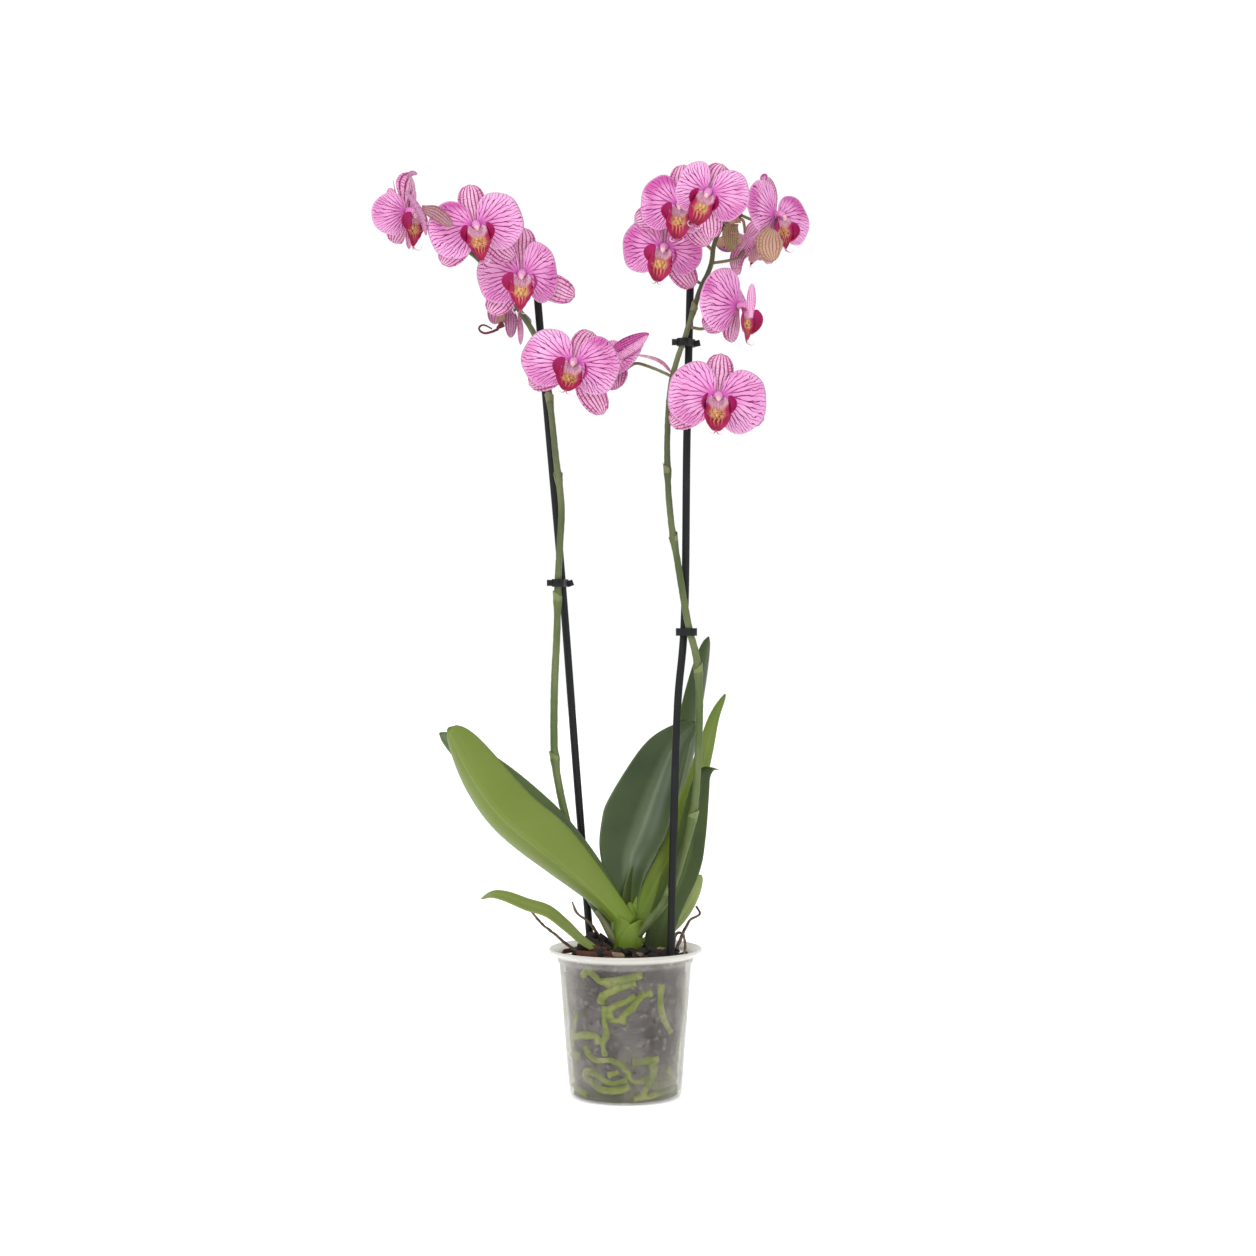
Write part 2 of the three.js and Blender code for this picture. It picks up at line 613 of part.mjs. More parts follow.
/** The turn that brings a bloom's face round to where it looks. */
function turnOf([yaw, pitch, roll]) {
  const [y, p] = [rad(yaw), rad(pitch)];
  const out = v3(Math.sin(y) * Math.cos(p), -Math.cos(y) * Math.cos(p), Math.sin(p));
  const side = v3(0, 0, 1).cross(out).normalize();
  const up = out.clone().cross(side);
  const basis = new THREE.Matrix4().makeBasis(side, up, out);
  basis.multiply(new THREE.Matrix4().makeRotationZ(-rad(roll)));
  return new THREE.Quaternion().setFromRotationMatrix(basis);
}

/** A bloom's stalk, from inside the spike to just short of the bloom's neck. */
function stalk({ at, faces, size, stalk: points }) {
  const out = v3(0, 0, 1).applyQuaternion(turnOf(faces));
  const end = v3(...at).addScaledVector(out, -NECK * size - GAP);
  const before = end.clone().addScaledVector(out, -5);
  return sweep([...route(points), before, end], STALK_RADIUS, 4, 3 + points.length);
}

// ---- Spikes, stakes and clips ----

const SPIKE = {
  left: { low: 3.3, high: 1.9, steps: 18, knuckles: [0.065, 0.25, 0.455, 0.61, 0.71] },
  right: { low: 3.3, high: 1.8, steps: 20, knuckles: [0.075, 0.18, 0.37, 0.545, 0.635, 0.85] },
};
const KNUCKLE = { swell: 0.3, half: 0.0075 }; // how proud a knuckle stands, and its half length

/** The spike's radius along its length, wider at each knuckle. */
function stemRadius(side, t) {
  const { low, high, knuckles } = SPIKE[side];
  const near = Math.min(...knuckles.map((k) => Math.abs(k - t))) / KNUCKLE.half;
  return mix(low, high, t ** 1.2) * (1 + KNUCKLE.swell * Math.max(0, 1 - near));
}

/** Where the rings of the spike's stem stand, as shares of its length. */
function stemStations(side) {
  const { steps, knuckles } = SPIKE[side];
  const rings = knuckles.flatMap((k) => [k - KNUCKLE.half, k, k + KNUCKLE.half]);
  const plain = evenly(steps).filter((t) => knuckles.every((k) => Math.abs(k - t) > 1.6 * KNUCKLE.half));
  return [...plain, ...rings].sort((a, b) => a - b);
}

/** The spike's stem, or with grow the hole that clears it. */
const stem = (side, grow) =>
  sweep(route(STEM_ROUTE[side]), (t) => stemRadius(side, t) + grow, 6, stemStations(side));

/** Where the middle of a swept stem or stake passes a height. */
function passes(list, stations, z) {
  const curve = curveThrough(route(list));
  const line = stations.map((t) => curve.getPointAt(t));
  const k = line.findIndex((point) => point.z > z);
  const [below, above] = [line[k - 1], line[k]];
  return below.clone().lerp(above, (z - below.z) / (above.z - below.z));
}

/** A spike: its stem with every stalk that grows from it. */
function spike(side) {
  const stalks = Object.values(BLOOMS).filter((bloomOf) => bloomOf.spike === side).map(stalk);
  return fuse([stem(side, 0), ...stalks]);
}

/** A slim pink bract that stands out from the right spike. */
const bract = () =>
  sweep(
    route([[36, -1, 566], [28.6, -8, 571.6], [19, -13, 577], [9, -16, 580]]),
    (t) => mix(BRACT.thin, BRACT.thick, Math.sin(Math.PI * t)), 4, 5,
  );

/** A stake, or with grow the hole that clears it. */
const stake = (side, grow) => sweep(route(STAKE_ROUTE[side]), STAKE_RADIUS + grow, 8, STAKE_STEPS);

/** A clip: a band with a hole for the spike and one for the stake, and an ear at each end. */
function clip(side, z, earTurn) {
  const { height, wall, stemHole, earLength, earThickness, earSunk } = CLIP;
  const { x: sx, y: sy } = passes(STEM_ROUTE[side], stemStations(side), z);
  const { x: px, y: py } = passes(STAKE_ROUTE[side], evenly(STAKE_STEPS), z);
  const outer = stemHole + wall;
  const along = Math.atan2(py - sy, px - sx);
  const band = new THREE.Shape();
  band.absarc(sx, sy, outer, along + Math.PI / 2, along - Math.PI / 2, false);
  band.absarc(px, py, outer, along - Math.PI / 2, along + Math.PI / 2, false);
  const holes = [[sx, sy, stemHole], [px, py, STAKE_RADIUS + 2 * GAP]];
  for (const [x, y, radius] of holes) {
    band.holes.push(new THREE.Path().absarc(x, y, radius, 0, 2 * Math.PI, true));
  }
  const body = new THREE.ExtrudeGeometry(band, { depth: height, bevelEnabled: false, curveSegments: 5 });
  const reach = outer + earLength / 2 - earSunk;
  const ear = (x, y, turn) => {
    const tab = new THREE.BoxGeometry(earLength, earThickness, height * 0.8);
    return solid(tab.rotateY(rad(turn)).translate(x, y, z));
  };
  return fuse([
    solid(body.translate(0, 0, z - height / 2)),
    ear(px + reach, py, earTurn),
    ear(sx - reach, sy, 0),
  ]);
}

// Each clip: its side, its height on the spike, and how far its outer ear is turned.
const CLIPS = {
  clip_left: ["left", 402, -20],
  clip_right_low: ["right", 363.5, 0],
  clip_right_high: ["right", 590.5, -12],
};

const AIR_ROOTS = {
  air_root_left: [[-30, -14, 110], [-45.5, -19, 121], [-54, -24, 129], [-64, -27, 137.5], [-73, -29, 148]],
  air_root_back: [[-17, 12, 112], [-22, 10, 125], [-29, 8, 135], [-38, 7, 142], [-42, 6, 151]],
  air_root_right: [[40, 16, 112], [51, 20, 134.7], [59, 21, 140], [56, 22, 146]],
  air_root_loop: [[36, -6, 108], [40, -7, 128], [44.5, -10, 128], [46.5, -14, 119], [44.5, -17, 108]],
};
const airRoot = (name, grow) =>
  sweep(route(AIR_ROOTS[name]), (t) => mix(AIR_ROOT.thick, AIR_ROOT.thin, t) + grow, 4, 6);

// ---- Assembly ----

const orchid = new THREE.Group();

function place(parent, name, geometry, material) {
  const mesh = new THREE.Mesh(geometry, material);
  mesh.name = name;
  parent.add(mesh);
}

place(orchid, "pot", surfaceOf(pot()), FINISH.pot());
place(orchid, "crown", surfaceOf(crown(0)), FINISH.crown());
place(orchid, "roots", surfaceOf(wallRoots().add(hubRoots(0))), FINISH.root());

const grownStems = ["left", "right"].map((side) => stem(side, GAP));
const grownStakes = ["left", "right"].map((side) => stake(side, GAP));
const grownAirRoots = Object.keys(AIR_ROOTS).map((name) => airRoot(name, GAP));

const leaves = new THREE.Group();
const earlier = [crown(GAP)];
for (const [name, spec] of Object.entries(LEAVES)) {
  place(leaves, name, surfaceOf(cut(leaf(spec, 0), earlier)), FINISH[spec.finish]());
  earlier.push(leaf(spec, GAP));
}
orchid.add(leaves);

const heap = fuse([barkHeap(), ...topChips()]);
const lowNames = ["leaf_low_left", "leaf_front_right", "leaf_small_right"];
const lowLeaves = lowNames.map((name) => leaf(LEAVES[name], GAP));
const sockets = [crown(GAP), hubRoots(GAP), ...grownStakes, ...grownAirRoots, ...lowLeaves];
place(orchid, "bark", surfaceOf(cut(heap, sockets)), FINISH.bark());

for (const side of ["left", "right"]) {
  place(orchid, `spike_${side}`, surfaceOf(cut(spike(side), [crown(GAP)])), FINISH.spike());
  place(orchid, `stake_${side}`, surfaceOf(stake(side, 0)), FINISH.stake());
}
place(orchid, "bract_right", surfaceOf(cut(bract(), [grownStems[1]])), FINISH.lip());
for (const name of Object.keys(AIR_ROOTS)) {
  place(orchid, name, surfaceOf(cut(airRoot(name, 0), [crown(GAP)])), FINISH.driedRoot());
}
for (const [name, [side, height, earTurn]] of Object.entries(CLIPS)) {
  place(orchid, name, surfaceOf(clip(side, height, earTurn)), FINISH.clip());
}

for (const [name, spec] of Object.entries(BLOOMS)) {
  const flower = new THREE.Group();
  flower.position.set(...spec.at);
  flower.quaternion.copy(turnOf(spec.faces));
  flower.scale.setScalar(spec.size);
  place(flower, `bloom_${name}`, surfaceOf(bloom(spec)), FINISH.bloom());
  place(flower, `lip_${name}`, surfaceOf(lip()), FINISH.lip());
  orchid.add(flower);
}

export default orchid;
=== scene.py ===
"""Potted moth orchid: petals, lips, leaves, spikes, clear pot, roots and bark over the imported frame."""

import math
import random

import bmesh
import bpy
from mathutils import Euler, Matrix, Vector, noise


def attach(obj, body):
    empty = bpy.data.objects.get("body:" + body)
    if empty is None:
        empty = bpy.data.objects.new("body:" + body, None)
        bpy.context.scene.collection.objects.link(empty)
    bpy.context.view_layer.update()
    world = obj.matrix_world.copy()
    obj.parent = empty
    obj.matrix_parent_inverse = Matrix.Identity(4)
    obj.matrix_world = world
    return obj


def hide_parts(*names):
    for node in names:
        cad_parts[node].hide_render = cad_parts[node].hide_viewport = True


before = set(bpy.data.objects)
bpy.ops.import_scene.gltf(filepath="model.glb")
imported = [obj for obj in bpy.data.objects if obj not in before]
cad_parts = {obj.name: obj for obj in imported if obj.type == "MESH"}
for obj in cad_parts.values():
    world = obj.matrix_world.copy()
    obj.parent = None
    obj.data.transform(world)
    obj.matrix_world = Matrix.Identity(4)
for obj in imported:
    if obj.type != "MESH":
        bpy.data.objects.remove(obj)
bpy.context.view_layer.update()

scene = bpy.context.scene
chance = random.Random(11)
# Shapes are given in millimetres, and keep() brings them to metres.
MM = 0.001

# ---- Camera: level, square on to the pot ----

CAMERA = {"aside": 2.0, "away": 1850.0, "height": 366.6, "lens": 67.6}


def set_camera():
    camera = bpy.data.cameras.new("camera")
    camera.lens = CAMERA["lens"]
    camera.sensor_width = 36
    camera.clip_end = 50
    stand = bpy.data.objects.new("camera", camera)
    stand.location = Vector((CAMERA["aside"], -CAMERA["away"], CAMERA["height"])) * MM
    stand.rotation_euler = (math.pi / 2, 0, 0)
    scene.collection.objects.link(stand)
    scene.camera = stand


set_camera()

# ---- Shaping ----


def lerp(a, b, t):
    return a + (b - a) * t


def clamp(t, low=0.0, high=1.0):
    return max(low, min(high, t))


def ease(t, start=0.0, end=1.0):
    t = clamp((t - start) / (end - start))
    return t * t * (3 - 2 * t)


def along_table(rows, u):
    """The values of a table of [u, value, ...] rows at u, eased from one row to the next."""
    for low, high in zip(rows, rows[1:]):
        if u <= high[0]:
            t = ease(u, low[0], high[0])
            return [lerp(a, b, t) for a, b in zip(low[1:], high[1:])]
    return list(rows[-1][1:])


class Route:
    """A soft line through points given in millimetres, read at even shares of its length."""

    def __init__(self, points):
        points = [Vector(p) for p in points]
        points = [2 * points[0] - points[1], *points, 2 * points[-1] - points[-2]]
        self.line = []
        for p0, p1, p2, p3 in zip(points, points[1:], points[2:], points[3:]):
            gaps = [max((b - a).length ** 0.5, 1e-4) for a, b in ((p0, p1), (p1, p2), (p2, p3))]
            before, middle, after = gaps
            m1 = ((p1 - p0) / before - (p2 - p0) / (before + middle) + (p2 - p1) / middle) * middle
            m2 = ((p2 - p1) / middle - (p3 - p1) / (middle + after) + (p3 - p2) / after) * middle
            for step in range(16):
                t = step / 16
                self.line.append(
                    p1 * (2 * t**3 - 3 * t**2 + 1) + m1 * (t**3 - 2 * t**2 + t)
                    + p2 * (3 * t**2 - 2 * t**3) + m2 * (t**3 - t**2)
                )
        self.line.append(points[-2])
        self.run = [0.0]
        for a, b in zip(self.line, self.line[1:]):
            self.run.append(self.run[-1] + (b - a).length)

    def at(self, t):
        want = clamp(t) * self.run[-1]
        k = 1
        while k < len(self.run) - 1 and self.run[k] < want:
            k += 1
        share = (want - self.run[k - 1]) / (self.run[k] - self.run[k - 1])
        return self.line[k - 1].lerp(self.line[k], share)

    def heading(self, t):
        return (self.at(t + 0.004) - self.at(t - 0.004)).normalized()

    def rings(self, steps):
        """Centre and two crossways directions at each step, carried along with no twist."""
        made = []
        side = None
        for k in range(steps + 1):
            ahead = self.heading(k / steps)
            if side is None:
                side = Vector((1, 0, 0)) if abs(ahead.z) > 0.9 else Vector((0, 0, 1))
            side = (side - ahead * side.dot(ahead)).normalized()
            made.append((self.at(k / steps), side, ahead.cross(side)))
        return made


def new_mesh():
    mesh = bmesh.new()
    mesh.loops.layers.uv.new("net")
    return mesh


def wrap(mesh, around, along, place, matrix=Matrix()):
    """Adds a closed sleeve: a grid whose first and last columns meet, put in place by place(x, y)."""
    grid = bmesh.ops.create_grid(mesh, x_segments=around, y_segments=along, size=0.5, calc_uvs=True)
    for corner in grid["verts"]:
        corner.co = matrix @ place(corner.co.x + 0.5, corner.co.y + 0.5)
    bmesh.ops.remove_doubles(mesh, verts=grid["verts"], dist=2e-3)


def front_then_back(x):
    """Round a flattened sleeve, x from 0 to 1: from -1 to 1 over its front and back to -1 behind."""
    return 4 * x - 1 if x <= 0.5 else 3 - 4 * x


def blade(mesh, around, along, thickness, surface, matrix=Matrix(), flip=1, roundness=8):
    """Adds a thin blade over surface(u, v), u along it and v from -1 to 1 across, its edges rounded off."""

    def place(x, y):
        v = front_then_back(x)
        facing = flip if x <= 0.5 else -flip
        step = 1e-3
        ahead = surface(y + step, v) - surface(y - step, v)
        across = surface(y, v + step) - surface(y, v - step)
        soft = math.sqrt(max(0.0, 1 - abs(v) ** roundness)) * math.sqrt(max(0.0, 1 - y**12))
        return surface(y, v) + ahead.cross(across).normalized() * facing * soft * thickness / 2

    wrap(mesh, around, along, place, matrix)


def tube(mesh, points, radius, around, steps, matrix=Matrix(), flat=1.0, rough=0.0):
    """Adds a round stem along a route. Its radius is a number, or a function of the share of its length."""
    rings = Route(points).rings(steps)

    def place(x, y):
        centre, side, other = rings[round(y * steps)]
        size = radius(y) if callable(radius) else radius
        turn = 2 * math.pi * x
        point = centre + side * size * math.cos(turn) + other * size * flat * math.sin(turn)
        if rough:
            point += (point - centre).normalized() * rough * noise.noise(point * 0.35)
        return point

    wrap(mesh, around, steps, place, matrix)


def keep(name, mesh, material, slot, *nodes, scale=MM):
    """Turns a finished mesh in millimetres into a piece of the plant that stands for those nodes."""
    bmesh.ops.holes_fill(mesh, edges=[e for e in mesh.edges if e.is_boundary], sides=0)
    bmesh.ops.dissolve_degenerate(mesh, edges=mesh.edges, dist=1e-5)
    bmesh.ops.recalc_face_normals(mesh, faces=mesh.faces)
    bmesh.ops.scale(mesh, vec=(scale, scale, scale), verts=mesh.verts)
    for face in mesh.faces:
        face.smooth = True
    data = bpy.data.meshes.new(name)
    mesh.to_mesh(data)
    mesh.free()
    data.materials.append(material)
    piece = bpy.data.objects.new(name, data)
    scene.collection.objects.link(piece)
    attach(piece, "root")
    if nodes:
        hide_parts(*nodes)
    return piece


# ---- Paint ----


def rgb(code):
    """A colour picked as the eye sees it, as the shader wants it."""
    parts = [int(code[k : k + 2], 16) / 255 for k in (1, 3, 5)]
    return tuple(c / 12.92 if c <= 0.04045 else ((c + 0.055) / 1.055) ** 2.4 for c in parts) + (1.0,)


class Paint:
    """A material in the making: its shader, and short calls for the nodes that colour it."""

    def __init__(self, name, roughness, **sockets):
        self.material = bpy.data.materials.new(name)
        self.material.use_nodes = True
        self.tree = self.material.node_tree
        self.shader = self.tree.nodes["Principled BSDF"]
        self.shader.inputs["Roughness"].default_value = roughness
        for socket, value in sockets.items():
            self.shader.inputs[socket.replace("_", " ")].default_value = value

    def link(self, value, socket):
        """Feeds a socket with another node's output, a number, or a colour given by its code."""
        if isinstance(value, bpy.types.NodeSocket):
            self.tree.links.new(value, socket)
        else:
            socket.default_value = rgb(value) if isinstance(value, str) else value

    def math(self, operation, *values, clamped=False):
        node = self.tree.nodes.new("ShaderNodeMath")
        node.operation = operation
        node.use_clamp = clamped
        for value, socket in zip(values, node.inputs):
            self.link(value, socket)
        return node.outputs[0]

    def times(self, a, b):
        return self.math("MULTIPLY", a, b)

    def plus(self, a, b):
        return self.math("ADD", a, b)

    def parts(self, vector):
        """The x, y and z of a place, or the red, green and blue of a colour."""
        split = self.tree.nodes.new("ShaderNodeSeparateXYZ")
        self.tree.links.new(vector, split.inputs[0])
        return split.outputs

    def net(self):
        """Across and along a piece: x and y of its own map."""
        node = self.tree.nodes.new("ShaderNodeUVMap")
        node.uv_map = "net"
        x, y, _ = self.parts(node.outputs[0])
        return x, y

    def place(self, stretch=None):
        """The place on the piece, stretched where a pattern is longer one way than another."""
        place = self.tree.nodes.new("ShaderNodeTexCoord").outputs["Object"]
        if stretch is None:
            return place
        mapping = self.tree.nodes.new("ShaderNodeMapping")
        mapping.inputs["Scale"].default_value = stretch
        self.tree.links.new(place, mapping.inputs[0])
        return mapping.outputs[0]

    def height(self):
        return self.parts(self.place())[2]

    def cloud(self, scale, detail=2.0, stretch=None):
        """Soft noise from 0 to 1."""
        node = self.tree.nodes.new("ShaderNodeTexNoise")
        node.inputs["Scale"].default_value = scale
        node.inputs["Detail"].default_value = detail
        self.tree.links.new(self.place(stretch), node.inputs["Vector"])
        return node.outputs["Fac"]

    def sway(self, scale, reach):
        """Soft noise that drifts to either side of nothing."""
        return self.math("MULTIPLY_ADD", self.cloud(scale, 2), reach, -reach / 2)

    def cells(self, scale, feature="F1", stretch=None, output="Distance"):
        """A pattern of cells: the distance from each cell's middle, or from its edge, or its own colour."""
        node = self.tree.nodes.new("ShaderNodeTexVoronoi")
        node.feature = feature
        node.inputs["Scale"].default_value = scale
        self.tree.links.new(self.place(stretch), node.inputs["Vector"])
        return node.outputs[output]

    def chance_of(self, value):
        """A random number from 0 to 1 for each whole value."""
        node = self.tree.nodes.new("ShaderNodeTexWhiteNoise")
        node.noise_dimensions = "1D"
        self.link(value, node.inputs["W"])
        return node.outputs["Value"]

    def ramp(self, value, low, high, bottom=0.0, top=1.0):
        """value eased from low to high, as bottom to top."""
        node = self.tree.nodes.new("ShaderNodeMapRange")
        node.interpolation_type = "SMOOTHSTEP"
        for name, given in (("From Min", low), ("From Max", high), ("To Min", bottom), ("To Max", top)):
            self.link(given, node.inputs[name])
        self.link(value, node.inputs["Value"])
        return node.outputs["Result"]

    def mix(self, share, under, over):
        """under where share is 0 and over where it is 1."""
        node = self.tree.nodes.new("ShaderNodeMix")
        node.data_type = "RGBA"
        self.link(share, node.inputs["Factor"])
        self.link(under, node.inputs["A"])
        self.link(over, node.inputs["B"])
        return node.outputs["Result"]

    def bump(self, height, strength, distance):
        node = self.tree.nodes.new("ShaderNodeBump")
        node.inputs["Strength"].default_value = strength
        node.inputs["Distance"].default_value = distance
        self.tree.links.new(height, node.inputs["Height"])
        self.tree.links.new(node.outputs[0], self.shader.inputs["Normal"])

    def done(self, colour, roughness=None):
        self.link(colour, self.shader.inputs["Base Color"])
        if roughness is not None:
            self.link(roughness, self.shader.inputs["Roughness"])
        return self.material


def across_and_face(paint):
    """For a blade: v from -1 to 1 across it, u along it, and 1 on its back."""
    x, u = paint.net()
    v = paint.math("SUBTRACT", paint.times(paint.math("PINGPONG", x, 0.5), 4.0), 1.0)
    return v, u, paint.math("GREATER_THAN", x, 0.5)


# A petal's veins: how many leave the claw, how broad a lane each has at the rim, and for each fork where
# along the petal it starts, how long it takes to open and how far it opens.
VEINS = {"main": 9, "lane": 12.8, "forks": ((0.06, 0.34, 0.25), (0.42, 0.4, 0.125))}


def petal_paint():
    """Pink with magenta veins that fan out from the claw and fork twice on the way to a pale rim."""
    paint = Paint("petal_veined", 0.6, Specular_IOR_Level=0.25, Subsurface_Weight=0.04)
    v, u, back = across_and_face(paint)
    sway = paint.times(paint.plus(paint.sway(55, 0.2), paint.sway(260, 0.09)), u)
    spread = paint.times(paint.plus(v, sway), VEINS["main"] / 2)
    which = paint.chance_of(paint.math("FLOOR", spread))
    off = paint.math("ABSOLUTE", paint.math("SUBTRACT", paint.math("FRACT", spread), 0.5))
    for start, length, part in VEINS["forks"]:
        start = paint.math("MULTIPLY_ADD", which, 0.18, start)
        fork = paint.ramp(u, start, paint.plus(start, length), 0.0, part)
        off = paint.math("ABSOLUTE", paint.math("SUBTRACT", off, fork))
    apart = paint.times(off, paint.times(u, VEINS["lane"]))
    weight = paint.math("MULTIPLY_ADD", paint.cloud(90, 2), 0.42, paint.ramp(u, 0.2, 1.0, 0.12, 0.05))
    vein = paint.ramp(apart, paint.times(weight, 0.6), paint.plus(weight, 0.12), 1.0, 0.0)
    vein = paint.times(vein, paint.ramp(u, 0.08, 0.34, 0.3, 1.0))
    vein = paint.times(vein, paint.ramp(paint.cloud(120, 1), 0.25, 0.5, 0.6, 1.0))
    ground = paint.mix(paint.ramp(u, 0.2, 0.9), "#E58CCB", "#E8A0D2")
    light = paint.times(paint.ramp(paint.cloud(40, 2), 0.48, 0.7), paint.ramp(u, 0.25, 0.55))
    ground = paint.mix(paint.times(light, 0.4), ground, "#F2BDE2")
    flush = paint.times(paint.ramp(paint.cloud(24, 2), 0.42, 0.6), paint.ramp(u, 0.4, 0.85))
    flush = paint.times(flush, paint.ramp(v, -0.7, 0.4, 0.5, 1.0))
    ground = paint.mix(paint.times(flush, 0.85), ground, "#C0389A")
    ground = paint.mix(paint.ramp(u, 0.05, 0.34, 0.75, 0.0), ground, "#D85CBC")
    colour = paint.mix(vein, ground, "#78105A")
    side = paint.math("ABSOLUTE", v)
    rim = paint.math("MAXIMUM", paint.ramp(u, 0.945, 0.98), paint.ramp(side, 0.96, 0.99, 0, 0.5))
    colour = paint.mix(paint.times(rim, 0.6), colour, "#EDB2DC")
    reverse = paint.mix(paint.times(vein, 0.5), "#D79AC4", "#A8508C")
    paint.bump(paint.times(vein, -1.0), 0.4, 0.0006)
    return paint.done(paint.mix(back, colour, reverse))


def sepal_paint(name, ground_code, line_code, edge_code, back_code, back_line_code, count=3.6):
    """Pale, with count dark lines to each side of its middle, joined by short cross veins near its edges."""
    paint = Paint(name, 0.6, Specular_IOR_Level=0.25, Subsurface_Weight=0.04)
    v, u, back = across_and_face(paint)
    sway = paint.sway(90, 0.24)
    lines = paint.times(paint.plus(v, sway), count)
    column = paint.math("FLOOR", paint.plus(lines, 0.5))
    off = paint.math("ABSOLUTE", paint.math("SUBTRACT", lines, column))
    weight = paint.math("MULTIPLY_ADD", paint.cloud(140, 1), 0.22, 0.02)
    long = paint.ramp(off, paint.times(weight, 0.7), paint.plus(weight, 0.09), 1.0, 0.0)
    cell = paint.math("FLOOR", lines)
    steps = paint.math("MULTIPLY_ADD", u, 14.0, paint.times(paint.chance_of(cell), 3.0))
    steps = paint.plus(steps, paint.times(paint.cloud(120, 1), 2.0))
    rung = paint.math("ABSOLUTE", paint.math("SUBTRACT", paint.math("FRACT", steps), 0.5))
    rung = paint.times(paint.ramp(rung, 0.1, 0.22, 1.0, 0.0), paint.ramp(paint.cloud(230, 1), 0.4, 0.52))
    edge = paint.ramp(paint.math("ABSOLUTE", v), 0.3, 0.9)
    rung = paint.times(rung, paint.math("MULTIPLY_ADD", edge, 0.65, 0.3))
    vein = paint.math("MAXIMUM", long, rung)
    vein = paint.times(vein, paint.ramp(u, 0.0, 0.25, 0.45, 1.0))
    ground = paint.mix(paint.times(edge, 0.6), ground_code, edge_code)
    ground = paint.mix(paint.ramp(u, 0.0, 0.3, 0.5, 0.0), ground, edge_code)
    colour = paint.mix(paint.times(vein, 0.95), ground, line_code)
    stripe = paint.ramp(off, 0.05, 0.3, 1.0, 0.0)
    shade = paint.times(paint.ramp(paint.cloud(60, 3), 0.4, 0.7), 0.5)
    reverse = paint.mix(shade, back_code, back_line_code)
    reverse = paint.mix(paint.times(stripe, 0.75), reverse, back_line_code)
    paint.bump(paint.times(long, -1.0), 0.35, 0.0007)
    return paint.done(paint.mix(back, colour, reverse))


def column_paint():
    """The column: greenish neck and pink hood, with painted shade that darkens its underside to mauve below
    the hood.
    """
    paint = Paint("column_hood", 0.4, Subsurface_Weight=0.08)
    x, u = paint.net()
    colour = paint.mix(paint.ramp(u, 0.1, 0.4), "#8A8A5A", "#D272B8")
    colour = paint.mix(paint.ramp(u, 0.45, 0.8), colour, "#D685BC")
    # Painted shade: the underside below the hood is darkened to mauve, more towards the column's tip.
    below = paint.math("GREATER_THAN", x, 0.5)
    shade = paint.mix(paint.ramp(u, 0.5, 0.9), "#C896B0", "#A8648C")
    colour = paint.mix(paint.times(below, 0.7), colour, shade)
    mottle = paint.cloud(300, 2)
    paint.bump(mottle, 0.1, 0.0004)
    return paint.done(paint.mix(paint.ramp(mottle, 0.55, 0.75, 0, 0.35), colour, "#EFB9E2"))


def cap_paint():
    """The pale anther cap at the column's tip."""
    paint = Paint("anther_cap", 0.35, Subsurface_Weight=0.1)
    cloud = paint.cloud(420, 2)
    paint.bump(cloud, 0.15, 0.0003)
    return paint.done(paint.mix(paint.ramp(cloud, 0.35, 0.75), "#EFC0BC", "#DA98B0"))


def lip_paint():
    """The lip's face: speckled pale throat, golden shoulder with dark rays, crimson border and point."""
    paint = Paint("lip_face", 0.5, Specular_IOR_Level=0.25)
    v, u, back = across_and_face(paint)
    far = paint.math("ABSOLUTE", v)
    sway = paint.sway(160, 0.4)
    lines = paint.math("FRACT", paint.times(paint.plus(v, sway), 3.2))
    stripe = paint.ramp(paint.math("ABSOLUTE", paint.math("SUBTRACT", lines, 0.5)), 0.08, 0.24, 1.0, 0.0)
    throat = paint.mix(paint.ramp(u, 0.0, 0.3), "#DDA6C8", "#CC98A4")
    speck = paint.ramp(paint.cells(700), 0.2, 0.36, 1.0, 0.0)
    speck = paint.math("MAXIMUM", paint.times(stripe, paint.ramp(far, 0.2, 0.5, 0.6, 0.15)), speck)
    throat = paint.mix(paint.times(speck, 0.55), throat, "#7A2450")
    crimson = paint.mix(paint.ramp(paint.cloud(150, 2), 0.35, 0.7), "#A00C46", "#7C0632")
    crimson = paint.mix(paint.ramp(far, 0.6, 0.95, 0.0, 0.6), crimson, "#980A50")
    streak = paint.times(stripe, paint.ramp(far, 0.25, 0.65, 1.0, 0.0))
    streak = paint.times(streak, paint.ramp(u, 0.6, 0.92, 1.0, 0.0))
    crimson = paint.mix(paint.times(streak, 0.85), crimson, "#D89068")
    spots = paint.ramp(paint.cells(560), 0.24, 0.42, 1.0, 0.0)
    gold = paint.mix(spots, "#C99C64", "#862834")
    gold = paint.mix(paint.ramp(far, 0.35, 0.8), gold, "#A42452")
    colour = paint.mix(paint.ramp(u, 0.24, 0.36), throat, gold)
    colour = paint.mix(paint.ramp(u, 0.5, 0.64), colour, crimson)
    outer = paint.times(paint.ramp(far, 0.7, 0.9), paint.ramp(u, 0.25, 0.4))
    colour = paint.mix(outer, colour, "#9C0A4C")
    paint.bump(stripe, 0.15, 0.0004)
    return paint.done(paint.mix(back, colour, "#94305E"))


